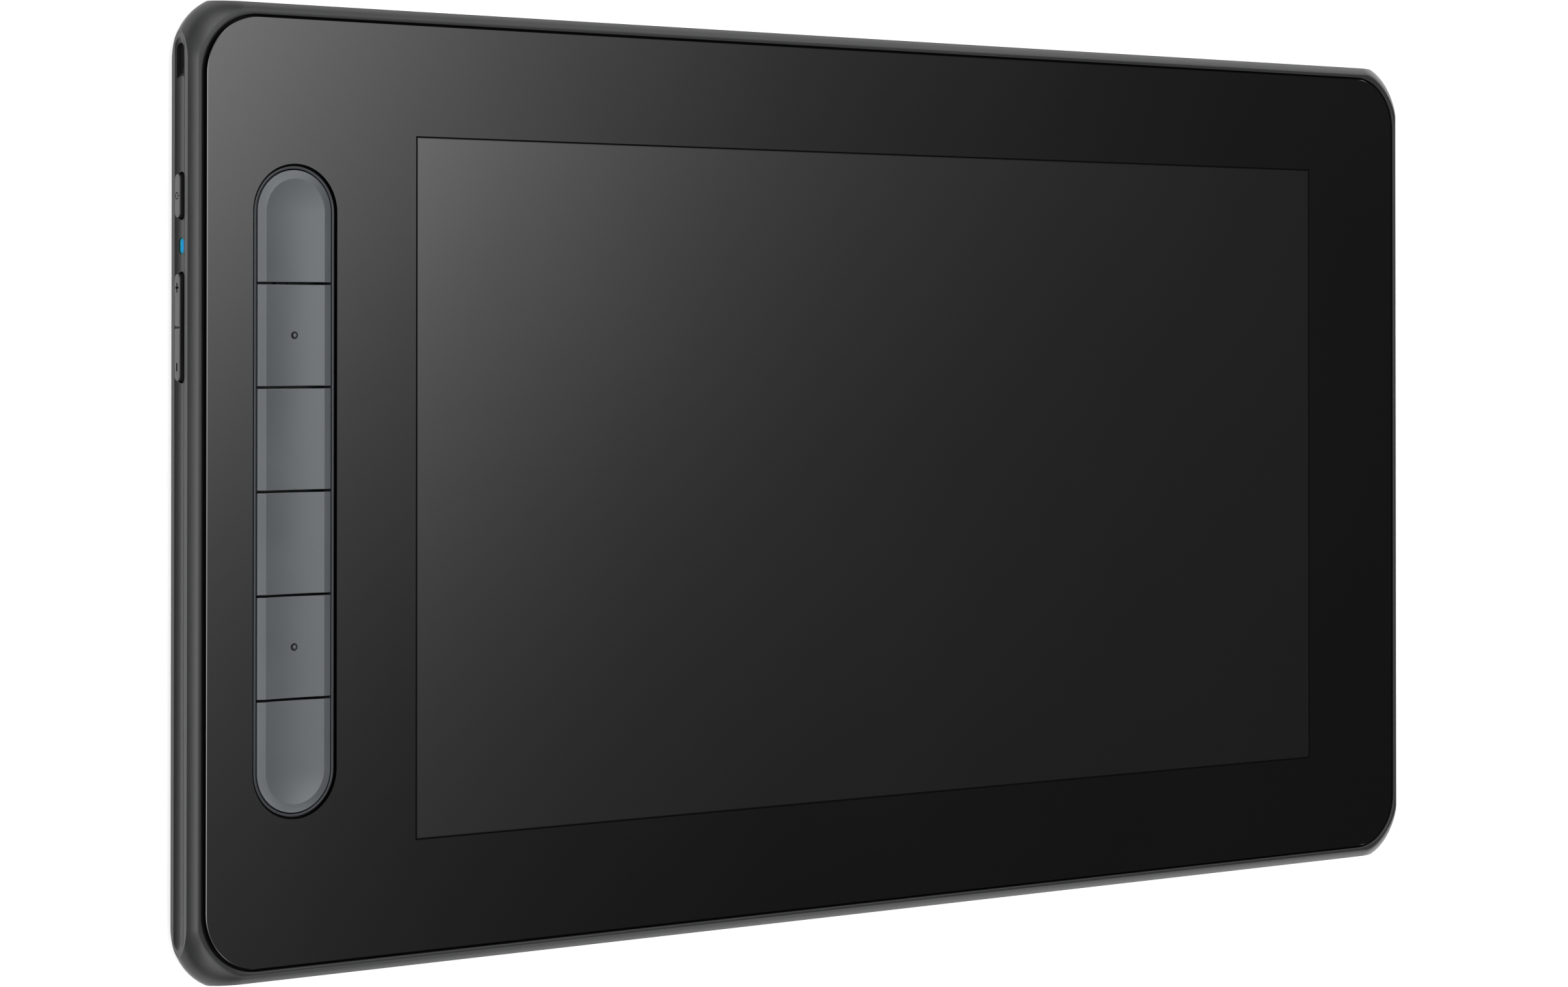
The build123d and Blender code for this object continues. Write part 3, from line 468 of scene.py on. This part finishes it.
def cutChannel(shell):
    # The shallow channel, and the strap slot at its top: a pocket that a ramp leads into
    radius = ((channel["width"] / 2) ** 2 + channel["depth"] ** 2) / (2 * channel["depth"])
    groove = capsule("groove", radius, channel["length"] - channel["width"],
                     (-body["halfX"] - radius + channel["depth"], 0, middleZ))
    width, height = slot["width"], middleZ - slot["drop"]
    pocket = prism("pocket", (slot["length"] - slot["ramp"] / 2, width), width / 2, -slot["deep"], past, segments=12)
    standOn(pocket, -1, slot["y"] + slot["ramp"] / 4, height, -body["halfX"])
    ramp = box("ramp", (-slot["rampWide"], -slot["rampBack"], -width / 2),
               (0, slot["ramp"] * slot["rampReach"], width / 2))
    ramp.rotation_euler = (0, 0, -math.atan(slot["rampDeep"] / slot["ramp"]))
    ramp.location = ((-body["halfX"] + channel["depth"]) * mm,
                     (slot["y"] - slot["length"] / 2 - slot["ramp"] / 2) * mm, height * mm)
    applyPlace(ramp)
    cut(shell, groove, pocket, ramp)


def cutSideHoles(shell):
    deep = -sideKeys["holeDeep"]
    holes = [((sideKeys[name]["length"], sideKeys["width"]), sideKeys["gap"], sideKeys[name]["y"])
             for name in ("power", "rocker")]
    for size, gap, y in holes + [(light["size"], light["gap"], light["y"])]:
        size = [side + 2 * gap for side in size]
        hole = prism("hole", size, size[1] / 2, deep, past, segments=12)
        cut(shell, standOn(hole, -1, y, middleZ, -body["halfX"]))
    for y in sockets["places"]:
        mouth = prism("mouth", sockets["size"], sockets["size"][1] / 2, deep, 0, flare=sockets["flare"])
        cut(shell, standOn(mouth, 1, y, middleZ, body["halfX"]))


def buildFrame():
    shell = bodyForm("frame_shell", body["partZ"], None)
    openFront(shell)
    cutChannel(shell)
    cutSideHoles(shell)
    return shell


# Painted shade on the frame: where the lip and the channel are painted dark, and the dark coat's colour
framePaintedShadeLook = {"strength": 0.8, "fade": 0.5, "endGap": 0.1, "reach": 1, "flush": 0.015, "lipStart": 0.02,
                  "lipEnd": 0.75, "dark": (0.004,) * 3, "light": (0.007,) * 3, "rough": 0.6, "specular": 0.12}


def framePaintedShade(graph, place, grain):
    # Painted shade: the lip round the glass and the lower side of the channel are painted matt black, where shade
    # falls on them
    look = framePaintedShadeLook
    x, y, z = graph.axes(place)
    half = channel["width"] / 2
    # Painted shade in the channel, strongest at its lower side and kept inside the channel
    low = graph.band(z, (middleZ - half) * mm, (middleZ + half * look["fade"]) * mm, look["strength"], 0)
    inside = graph.math("LESS_THAN", abs(z - middleZ * mm), half * mm)
    inside = inside * graph.math("LESS_THAN", abs(y), (channel["length"] / 2 - look["endGap"]) * mm)
    inside = inside * graph.math("LESS_THAN", x, (-body["halfX"] + look["reach"]) * mm)
    inside = inside * graph.math("GREATER_THAN", x, (-body["halfX"] + look["flush"]) * mm)
    # Painted shade on the lip, fading out across its rounding
    turn = glass["corner"] + glass["cornerGap"]
    outX = abs(x) - (glass["halfX"] + glass["gapX"] - turn) * mm
    outY = abs(y) - (glass["halfY"] + glass["gapY"] - turn) * mm
    reach = graph.away(graph.most(outX, 0), graph.most(outY, 0))
    lipShade = graph.band(reach, (turn + look["lipStart"]) * mm, (turn + glass["lipRound"] * look["lipEnd"]) * mm, 1, 0)
    return graph.most(low * inside, lipShade), {"Base Color": graph.mix(grain, look["dark"], look["light"]),
                                           "Roughness": look["rough"], "Specular IOR Level": look["specular"]}


# The frame's plastic carries the painted shade of its lip and channel
framePaint = grained("frame_plastic", frameLook, framePaintedShade)
finishPiece(buildFrame(), "housing", "shell", framePaint, "middle_frame", angle=14)
print("frame shell made")

# The back, with recesses for its feet and screws
feet = {"places": [(x * 107.05, y * 68.45) for x in (-1, 1) for y in (-1, 1)], "size": (46, 9), "gap": 0.3,
        "recess": 0.4, "turn": 0.25, "tall": 1.2, "rim": ((1.2, 0), (0.25, 0.18), (0.6, 0))}
screws = {"places": [(x, y) for x in (-112.0, -37.33, 37.33, 112.0) for y in (-78.6, 78.6)], "head": 4.0,
          "over": 0.2, "around": 10}


def buildBack():
    back = bodyForm("back_shell", None, body["partZ"])
    for place in feet["places"]:
        seat = pillFace("footSeat", [side + feet["gap"] for side in feet["size"]], -past, place)
        rise(past + body["backZ"] + feet["recess"])
        closeUp()
        cut(back, seat)
    for place in screws["places"]:
        hole = pillFace("screwHole", (screws["head"],) * 2, -past, place, segments=screws["around"])
        rise(past + body["partZ"] + screws["over"])
        closeUp()
        cut(back, hole)
    return back


def buildFeet():
    pads = []
    for place in feet["places"]:
        pads.append(pillFace("foot_pads", feet["size"], feet["tall"], place))
        rise(-(feet["tall"] - feet["turn"]))
        stepIn([(inward, -along) for inward, along in roundOver(feet["turn"])])
        stepIn(feet["rim"])
        closeUp()
    return join(*pads)


finishPiece(buildBack(), "housing", "back", grained("back_plastic", backLook), "rear_cover", angle=14)
finishPiece(buildFeet(), "housing", "feet", grained("foot_rubber", rubberLook), "rubber_feet", angle=30)
print("back and feet made")


# The glass
def buildGlass():
    size = (2 * glass["halfX"], 2 * glass["halfY"])
    pane = roundedFace("front_glass", size, glass["corner"], glass["front"] - glass["thick"],
                       segments=body["cornerSteps"])
    rise(glass["thick"] - glass["chamfer"][1])
    stepIn([glass["chamfer"], (glass["rimStep"], 0)])
    closeUp()
    hole = prism("hole", bank["cutout"], bank["cutout"][0] / 2, glass["front"] - 3 * past, glass["front"],
                 centre=(bank["x"], 0), segments=bank["around"])
    cut(pane, hole)
    return pane


# The edge colour is the matt coat of the dark hairline round the screen, and painted shade on the top and bottom
# chamfers
glassLook = {"border": (0.0010, 0.0010, 0.0011), "screen": (0.0022, 0.0022, 0.0023), "screenFade": 0.12,
             "line": 0.2, "lineHalf": (0.1, 0.2), "smearScale": 14, "fineScale": 9000, "rough": (0.085, 0.125),
             "bump": 0.05, "bumpDepth": 0.002, "ior": 2.0, "coat": 0.8, "coatRough": 0.09, "edge": (0.001,) * 3,
             "edgeRough": 0.6, "edgeSpecular": 0.05}


def glassPaint():
    # Etched cover glass over a black border; the laminated screen mirrors more than the border does
    look = glassLook
    material, graph = paint("cover_glass_black")
    place = graph.place()
    x, y, z = graph.axes(place)
    outX = abs(x - screen["x"] * mm) - screen["width"] / 2 * mm
    outY = abs(y) - screen["height"] / 2 * mm
    outside = graph.most(outX, outY)
    inScreen = graph.band(outside, -look["screenFade"] * mm, 0, 1, 0)
    hairline = graph.band(abs(outside - look["line"] * mm), *[half * mm for half in look["lineHalf"]], 1, 0)
    # Painted shade: the chamfers along the top and bottom edges are painted dark and matt so that they catch no
    # light, while those at the ends keep their gloss
    edge = graph.math("GREATER_THAN", abs(y), (glass["halfY"] - glass["chamfer"][0]) * mm)
    smear = graph.noise(place, look["smearScale"], 5)
    fine = graph.noise(place, look["fineScale"], 1)
    finishPaint(graph, {"Base Color": graph.mix(inScreen, look["border"], look["screen"]),
                        "Roughness": graph.band(smear, 0.3, 0.75, *look["rough"]),
                        "Normal": graph.bump(fine, look["bump"], look["bumpDepth"]), "IOR": look["ior"],
                        "Coat Weight": inScreen * look["coat"], "Coat Roughness": look["coatRough"],
                        "Coat IOR": look["ior"]},
                graph.most(hairline, edge),
                {"Base Color": tint(look["edge"]), "Roughness": look["edgeRough"],
                 "Specular IOR Level": look["edgeSpecular"]})
    return material


finishPiece(buildGlass(), "housing", "glass", glassPaint(), "cover_glass", angle=14)


# The ring round the keys
def buildRing():
    low = glass["front"] - ring["depth"]
    wall = ring["depth"] - ring["drop"] - ring["turn"]
    trim = pillFace("ring_trim", ring["size"], low, (bank["x"], 0), segments=bank["around"])
    rise(wall)
    stepIn(roundOver(ring["turn"]))
    stepIn([(ring["wall"] - 2 * ring["turn"], 0)])
    stepIn(roundOver(ring["turn"], down=True))
    rise(-wall)
    pick("faces", lambda middle, normal: abs(middle.z - low) < close and abs(normal.z) > 0.9)
    bpy.ops.mesh.delete(type="FACE")
    pick("edges", lambda middle, along: abs(middle.z - low) < close)
    bpy.ops.mesh.bridge_edge_loops()
    closeUp()
    return trim


finishPiece(buildRing(), "housing", "trim", grained("ring_plastic", ringLook), "key_trim_ring", angle=35)


# The express keys
def buildBank():
    # The whole pill of keys, with its bevel and its hollow dish
    edge = glass["front"] - bank["edgeDrop"]
    low = glass["front"] - bank["baseDepth"]
    pill = pillFace("bankForm", bank["keys"], low, (bank["x"], 0), segments=bank["around"])
    rise(edge - low - bank["edgeTurn"])
    stepIn(roundOver(bank["edgeTurn"], 2))
    stepIn([(bank["bevel"] - bank["edgeTurn"] - bank["crestIn"], bank["crown"] - bank["crestRise"]),
            (bank["crestIn"], bank["crestRise"] - bank["crestDrop"]), (bank["lipIn"], -bank["lipDrop"])])
    half = bank["keys"][0] / 2 - bank["bevel"]
    radius = (half ** 2 + bank["dish"] ** 2) / (2 * bank["dish"])
    start = half - bank["lipIn"]
    outs = [start - (start - bank["dishFlat"]) * i / bank["dishSteps"] for i in range(bank["dishSteps"] + 1)]
    depths = [radius - math.sqrt(radius ** 2 - out ** 2) for out in outs]
    stepIn([(a - b, d - c) for a, b, c, d in zip(outs, outs[1:], depths, depths[1:])])
    closeUp()
    return pill


def endKey(y, side):
    # Cuts the pill off where a gap begins, and rounds the new edge over
    sliceOff((0, y, 0), (0, side, 0))
    pick("edges", lambda middle, along: abs(middle.y - y) < close and abs(along.y) < 0.01
         and middle.z > glass["front"] - bank["gapRoundDown"])
    bpy.ops.mesh.bevel(offset=bank["gapRound"] * mm, segments=3, affect="EDGES", clamp_overlap=False)


def addDot(key, y):
    floor = glass["front"] - bank["edgeDrop"] + bank["crown"] - bank["dish"]
    bottom = floor - dot["grooveDeep"]
    groove = prism("groove", (dot["groove"],) * 2, dot["groove"] / 2, bottom, floor + 0.5 * past,
                   centre=(bank["x"], y), segments=dot["around"])
    cut(key, groove)
    mound = pillFace("dot", (dot["across"],) * 2, bottom - dot["sunk"], (bank["x"], y), segments=dot["around"])
    rise(dot["grooveDeep"] + dot["sunk"] + dot["high"] - dot["turn"])
    stepIn(roundOver(dot["turn"]))
    stepIn([dot["top"]])
    closeUp()
    join(key, mound)


def buildKeys():
    form = buildBank()
    half = bank["count"] // 2
    keys = []
    for number in range(1, bank["count"] + 1):
        key = form.copy()
        key.data = form.data.copy()
        bpy.context.collection.objects.link(key)
        key.name = key.data.name = "key_cap_%d" % number
        edit(key)
        for side, step in ((1, half - number + 1), (-1, half - number)):
            if abs(step) < half:
                endKey(step * bank["pitch"] - side * bank["gap"] / 2, side)
        closeUp()
        if number in dot["keys"]:
            addDot(key, math.copysign(dot["y"], half + 0.5 - number))
        keys.append(key)
    bpy.data.objects.remove(form)
    return keys


# Painted shade for the grooves round the dots: where it falls, and its colour
dotPaintedShadeLook = {"inner": (0.2, 0.4), "outer": (-0.02, 0.03), "strength": 0.9, "dark": (0.006, 0.006, 0.007),
                "light": (0.012, 0.012, 0.013), "rough": 0.5, "specular": 0.3}


def dotPaintedShade(graph, place, grain):
    # Painted shade in the groove round each raised dot
    look = dotPaintedShadeLook
    x, y, z = graph.axes(place)
    away = graph.away(x - bank["x"] * mm, abs(y) - dot["y"] * mm)
    inner = [side * mm for side in look["inner"]]
    outer = [(dot["groove"] / 2 + side) * mm for side in look["outer"]]
    mask = graph.band(away, *inner) * graph.band(away, *outer, 1, 0)
    return mask * look["strength"], {"Base Color": graph.mix(grain, look["dark"], look["light"]),
                                     "Roughness": look["rough"], "Specular IOR Level": look["specular"]}


# The keys' plastic carries the painted shade of the dot grooves
keyPaint = grained("key_plastic", keyLook, dotPaintedShade)
for number, key in enumerate(buildKeys(), 1):
    finishPiece(key, "key_%d" % number, "key", keyPaint, "express_key_%d" % number, angle=14)
print("glass, ring and keys made")


# The keys in the channel and their printed marks
def sideKey(name, spec):
    # A pill that stands out of the channel, modelled flat and then turned to face left
    inner = -body["halfX"] - sideKeys["innerX"]
    size = (spec["length"] - sideKeys["slim"], sideKeys["width"] - sideKeys["slim"])
    key = pillFace(name, size, inner, segments=16)
    rise(sideKeys["proud"] - sideKeys["turn"] - inner)
    stepIn(roundOver(sideKeys["turn"], 3))
    stepIn([(sideKeys["topStep"], 0)])
    closeUp()
    return standOn(key, -1, spec["y"], middleZ, -body["halfX"])


def buildRocker():
    # A square bar laid on its edge cuts the notch between the two ends
    spec = sideKeys["rocker"]
    key = sideKey("rocker_key", spec)
    width, deep = sideKeys["notch"]
    wedge = box("wedge", (-1, -1, -3), (1, 1, 3))
    wedge.rotation_euler = (0, 0, math.pi / 4)
    applyPlace(wedge)
    wedge.scale = (deep / math.sqrt(2), width / 2 / math.sqrt(2), 1)
    wedge.location = (keyFaceX * mm, spec["y"] * mm, middleZ * mm)
    applyPlace(wedge)
    cut(key, wedge)
    return key


prints = {"thick": 0.012, "cornerShare": 0.25,
          "power": {"outer": 0.62, "line": 0.16, "gapHalf": 0.315, "bar": 0.72, "drop": 0.06, "barUp": 0.36},
          "plus": {"y": 35.7, "size": (1.7, 1.1), "line": 0.34}, "minus": {"y": 21.9, "size": (1.44, 0.4)}}


def strip(name, size, y, up=0):
    # A thin printed bar on a side key; sizes run along Y and Z
    piece = roundedFace(name, size, min(size) * prints["cornerShare"], 0, segments=3)
    rise(prints["thick"])
    closeUp()
    return standOn(piece, -1, y, middleZ + up, keyFaceX)


def buildPowerMark():
    spec, y = prints["power"], sideKeys["power"]["y"]
    objectMode()
    bpy.ops.mesh.primitive_circle_add(vertices=48, radius=spec["outer"] * mm, fill_type="NGON")
    circle = bpy.context.object
    circle.name = "power_mark"
    edit(circle)
    bpy.ops.mesh.select_all(action="SELECT")
    stepIn([(spec["line"], 0)])
    bpy.ops.mesh.delete(type="FACE")
    pick("faces", lambda middle, normal: middle.y > 0 and abs(middle.x) < spec["gapHalf"])
    bpy.ops.mesh.delete(type="FACE")
    bpy.ops.mesh.select_all(action="SELECT")
    rise(prints["thick"])
    closeUp()
    standOn(circle, -1, y, middleZ - spec["drop"], keyFaceX)
    return join(circle, strip("bar", (spec["line"], spec["bar"]), y, spec["barUp"]))


def buildPlusMark():
    spec = prints["plus"]
    mark = strip("plus_mark", (spec["size"][0], spec["line"]), spec["y"])
    cut(mark, strip("cross", (spec["line"], spec["size"][1]), spec["y"]), operation="UNION")
    return mark


printLook = {"dark": (0.003, 0.003, 0.003), "light": (0.006, 0.006, 0.006), "cloudScale": 900, "grainScale": 8000,
             "speckle": 0.2, "speckColour": (0.012, 0.012, 0.012), "rough": (0.5, 0.65), "grain": 0.2,
             "grainDepth": 0.01, "specular": 0.0}
# The side keys' face clouding, and the painted shade on their walls: where it begins behind the face, and its colour
facedWithShadeLook = {"fade": (0.10, 0.22), "cloudShare": 6, "dark": (0.005,) * 3, "light": (0.009,) * 3, "rough": 0.5,
             "specular": 0.15}


def facedWithShade(name, look):
    # A satin face on the key; behind its rounded edge the walls are painted dark and matt, a painted shade for the
    # gap round the key
    material, graph = paint(name)
    place = graph.place()
    x, y, z = graph.axes(place)
    # Painted shade mask: nothing on the face, full on the walls behind its rounded edge
    shadedWall = graph.band(x, *[(keyFaceX + side) * mm for side in facedWithShadeLook["fade"]])
    clouds = graph.noise(place, look["cloudScale"] * facedWithShadeLook["cloudShare"], 3)
    grain = graph.noise(place, look["grainScale"], 2)
    finishPaint(graph, {"Base Color": clouded(graph, clouds, look),
                        "Normal": graph.bump(grain, look["grain"], look["grainDepth"]),
                        "Roughness": handled(graph, clouds, grain, look)}, shadedWall,
                {"Base Color": graph.mix(grain, facedWithShadeLook["dark"], facedWithShadeLook["light"]),
                 "Roughness": facedWithShadeLook["rough"], "Specular IOR Level": facedWithShadeLook["specular"]})
    return material


printPaint = grained("key_print", printLook)
# The side keys' paint carries painted shade on their walls
sideKeyPaint = facedWithShade("side_key_face_and_painted_shade", sideKeyLook)
minus = prints["minus"]
finishPiece(sideKey("power_key", sideKeys["power"]), "power", "side_key", sideKeyPaint, "power_button", angle=30)
finishPiece(buildPowerMark(), "power", "side_key", printPaint)
finishPiece(buildRocker(), "rocker", "side_key", sideKeyPaint, "brightness_rocker", angle=20)
finishPiece(buildPlusMark(), "rocker", "side_key", printPaint)
finishPiece(strip("minus_mark", minus["size"], minus["y"]), "rocker", "side_key", printPaint)
print("side keys made")


# The status light
def buildLight():
    lens = pillFace("light_window", light["size"], -sideKeys["holeDeep"], segments=16)
    rise(sideKeys["holeDeep"] - channel["depth"] - light["recess"] - light["turn"])
    stepIn(roundOver(light["turn"], 3))
    stepIn(light["top"])
    closeUp()
    return standOn(lens, -1, light["y"], middleZ, -body["halfX"])


lightLook = {"middle": (0.006, 0.30, 0.68), "rim": (0.008, 0.20, 0.22), "low": (0.01, 0.30, 0.30),
             "rimBand": (0.6, 0.95), "lowBand": (0.1, 0.8), "cloudScale": 2500, "dark": (0.002, 0.02, 0.03),
             "light": (0.002, 0.03, 0.04), "rough": (0.4, 0.5), "specular": 0.05, "strength": 0.85}


def lightPaint():
    # A milky pipe, lit blue from behind, greener at its rim
    look = lightLook
    material, graph = paint("status_light")
    place = graph.place()
    x, y, z = graph.axes(place)
    halfY, halfZ = [side / 2 * mm for side in light["size"]]
    rim = graph.most(abs(y - light["y"] * mm) / halfY, abs(z - middleZ * mm) / halfZ)
    lower = graph.band((middleZ * mm - z) / halfZ, *look["lowBand"])
    glow = graph.mix(graph.band(rim, *look["rimBand"]), look["middle"], look["rim"])
    glow = graph.mix(lower, glow, look["low"])
    cloud = graph.noise(place, look["cloudScale"], 2)
    finishPaint(graph, {"Base Color": graph.mix(cloud, look["dark"], look["light"]),
                        "Roughness": graph.band(cloud, 0.3, 0.7, *look["rough"]),
                        "Specular IOR Level": look["specular"], "Emission Color": glow,
                        "Emission Strength": look["strength"]})
    return material


finishPiece(buildLight(), "housing", "light", lightPaint(), "status_light_pipe", angle=30)
print("light made")


# Finishes of the solids that stay
def metal(name, look):
    # Sheet or turned metal with brush lines and faint stains
    material, graph = paint(name)
    place = graph.place()
    stretched = graph.node("Mapping", values={0: place, 3: look["stretch"]})
    brush = graph.noise(stretched, look["scale"], 4)
    stains = graph.noise(place, look["scale"] * 0.1, 3)
    finishPaint(graph, {"Base Color": clouded(graph, brush, look), "Metallic": 1.0,
                        "Roughness": graph.band(stains + brush * 0.3, 0.4, 0.9, *look["rough"]),
                        "Normal": graph.bump(brush, 0.2, 0.01)})
    return material


boardLook = {"slant": 0.2, "rows": 5200, "columns": 4300, "edge": (0.55, 0.8), "patchScale": 160,
             "patch": (0.45, 0.55), "dark": (0.006, 0.030, 0.018), "light": (0.014, 0.062, 0.036),
             "rough": (0.3, 0.38), "bump": 0.3, "bumpDepth": 0.03}


def boardPaint():
    # Solder mask with tracks showing faintly under it
    look = boardLook
    material, graph = paint("circuit_board")
    place = graph.place()
    x, y, z = graph.axes(place)
    rows = graph.math("SINE", (x + y * look["slant"]) * look["rows"])
    columns = graph.math("SINE", (y - x * look["slant"]) * look["columns"])
    patch = graph.band(graph.noise(place, look["patchScale"], 2), *look["patch"])
    tracks = graph.band(graph.most(rows, columns), *look["edge"]) * patch
    finishPaint(graph, {"Base Color": graph.mix(tracks, look["dark"], look["light"]),
                        "Roughness": graph.band(patch, 0, 1, *look["rough"]),
                        "Normal": graph.bump(tracks, look["bump"], look["bumpDepth"])})
    return material


def plain(name, dark, light, rough):
    return grained(name, {"dark": dark, "light": light, "cloudScale": 200, "grainScale": 4000, "speckle": 0.25,
                          "speckColour": [min(1, value * 1.5) for value in light], "rough": rough, "grain": 0.2,
                          "grainDepth": 0.01})


steel = metal("bright_steel", {"dark": (0.42, 0.42, 0.43), "light": (0.55, 0.55, 0.56), "scale": 900,
                               "stretch": (1, 8, 1), "rough": (0.25, 0.4)})
darkSteel = metal("black_steel", {"dark": (0.035, 0.035, 0.037), "light": (0.06, 0.06, 0.062), "scale": 1200,
                                  "stretch": (1, 1, 1), "rough": (0.35, 0.5)})
sheet = metal("pressed_sheet", {"dark": (0.36, 0.37, 0.38), "light": (0.5, 0.51, 0.52), "scale": 300,
                                "stretch": (12, 1, 1), "rough": (0.3, 0.45)})
board = boardPaint()
ribbon = plain("ribbon_film", (0.10, 0.045, 0.008), (0.15, 0.07, 0.014), (0.25, 0.35))
kept = {
    "case_screws": darkSteel, "board_screws": darkSteel, "usb_c_socket_lower": steel, "usb_c_socket_upper": steel,
    "rocker_pin": steel, "display_tray": sheet, "shield_plate": sheet, "pen_sensor_board": board,
    "key_board": board, "side_board": board, "main_board": board, "display_ribbon": ribbon,
    "sensor_ribbon": ribbon, "key_ribbon": ribbon, "side_ribbon": ribbon,
    "glass_gasket": plain("gasket_foam", (0.01, 0.01, 0.01), (0.02, 0.02, 0.02), (0.8, 0.9)),
    "display_adhesive": plain("clear_bond", (0.03, 0.03, 0.03), (0.05, 0.05, 0.05), (0.1, 0.2)),
    "lcd_cell": plain("panel_glass", (0.006, 0.006, 0.008), (0.01, 0.01, 0.012), (0.08, 0.12)),
    "light_guide": plain("light_guide_acrylic", (0.6, 0.61, 0.62), (0.7, 0.71, 0.72), (0.1, 0.2)),
    "backlight_strip": plain("strip_white", (0.5, 0.5, 0.48), (0.6, 0.6, 0.58), (0.4, 0.5)),
    "key_switches": plain("switch_black", (0.015, 0.015, 0.015), (0.03, 0.03, 0.03), (0.4, 0.5)),
    "side_switches": plain("switch_grey", (0.1, 0.1, 0.1), (0.14, 0.14, 0.14), (0.4, 0.5)),
    "status_led": plain("led_white", (0.5, 0.5, 0.45), (0.65, 0.65, 0.6), (0.2, 0.3)),
    "board_chips": plain("chip_resin", (0.012, 0.012, 0.013), (0.022, 0.022, 0.024), (0.45, 0.6)),
    "board_connectors": plain("connector_ivory", (0.45, 0.43, 0.37), (0.55, 0.53, 0.47), (0.4, 0.5)),
}
for name, material in kept.items():
    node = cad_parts[name]
    if not node.material_slots:
        node.data.materials.append(material)
    for place in node.material_slots:
        place.material = material
print("solids painted")

# The stage; a panel is a soft round light in the sky, given by where its direction points
view = {"lens": 87.96, "sensor": 36, "shiftY": -0.1227, "place": (-0.46614, 0.02694, 0.60065),
        "right": (0.79863, 0.00017, 0.60182), "up": (-0.00598, 0.99995, 0.00766), "clip": (0.01, 200)}
ground = {"size": 30, "colour": 0.8, "cloud": 0.01, "glow": 0.5}
softPanel = {"squeeze": 1.0, "low": (0, 0.1)}
room = {"horizon": (0.02, 0.08), "ceiling": (0.04, 0.55), "ceilingEdge": (0.15, 0.58), "ceilingLow": (0.25, 0.65),
        "wallTop": (0.35, 0.6), "wallLevel": 0.06,
        "panels": [dict(softPanel, centre=(0.33, 0.17), squeeze=0.95, radius=0.16, edge=21, level=2.9),
                   dict(softPanel, centre=(-0.58, 0.0), squeeze=0.7, radius=0.27, edge=22, level=2.5,
                        low=(0.28, 0.6)),
                   dict(softPanel, centre=(-0.12, 0.68), radius=0.18, edge=18, level=3.2),
                   dict(softPanel, centre=(-0.12, -0.68), radius=0.20, edge=18, level=2.4),
                   dict(softPanel, centre=(0.60, 0.64), radius=0.26, edge=22, level=1.5),
                   dict(softPanel, centre=(0.60, -0.71), radius=0.22, edge=24, level=1.3)]}


def addCamera():
    data = bpy.data.cameras.new("camera")
    data.lens, data.sensor_width, data.sensor_fit = view["lens"], view["sensor"], "HORIZONTAL"
    data.shift_y = view["shiftY"]
    data.clip_start, data.clip_end = view["clip"]
    camera = bpy.data.objects.new("camera", data)
    bpy.context.scene.collection.objects.link(camera)
    right = Vector(view["right"]).normalized()
    back = right.cross(Vector(view["up"])).normalized()
    turn = Matrix((right, back.cross(right), back)).transposed().to_4x4()
    camera.matrix_world = Matrix.Translation(view["place"]) @ turn
    bpy.context.scene.camera = camera


def addFloor():
    # White, and a little lit of itself where it is seen or mirrored
    objectMode()
    bpy.ops.mesh.primitive_plane_add(size=ground["size"])
    floor = bpy.context.object
    floor.name = "floor"
    material, graph = paint("floor_white")
    seen = graph.most(graph.ray("Camera"), graph.most(graph.ray("Glossy"), graph.ray("Transmission")))
    level = ground["colour"]
    colour = graph.mix(graph.noise(graph.place(), 3, 2), (level,) * 3, (level + ground["cloud"],) * 3)
    shader = graph.node("BsdfDiffuse", values={"Color": colour})
    glow = graph.node("Emission", values={"Color": (1, 1, 1, 1), "Strength": seen * ground["glow"]})
    both = graph.node("AddShader", values={0: shader, 1: glow})
    graph.node("OutputMaterial", values={"Surface": both})
    floor.data.materials.append(material)


def lightRoom():
    # Soft panels overhead and at the sides, a grey ceiling that darkens to the right, and white low walls
    scene = bpy.context.scene
    scene.world = bpy.data.worlds.new("studio")
    scene.world.use_nodes = True
    graph = Graph(scene.world.node_tree)
    x, y, z = graph.axes(graph.node("TexCoord", out="Generated"))
    low, high = room["ceiling"]
    glow = graph.band(x, *room["ceilingEdge"], high, low) * graph.band(z, *room["ceilingLow"])
    glow = glow + graph.band(z, *room["wallTop"], room["wallLevel"], 0)
    for panel in room["panels"]:
        away = graph.away(x - panel["centre"][0], (y - panel["centre"][1]) * panel["squeeze"])
        shape = panel["level"] / (1 + graph.math("EXPONENT", (away - panel["radius"]) * panel["edge"]))
        glow = glow + shape * graph.band(z, *panel["low"])
    walls = graph.most(graph.band(z, *room["horizon"], 1, 0), graph.ray("Camera"))
    shader = graph.node("Background", values={"Color": (1, 1, 1, 1), "Strength": walls + glow * (1 - walls)})
    graph.node("OutputWorld", values={"Surface": shader})


addCamera()
addFloor()
lightRoom()
bpy.context.scene.view_settings.view_transform = "Standard"
print("stage set")
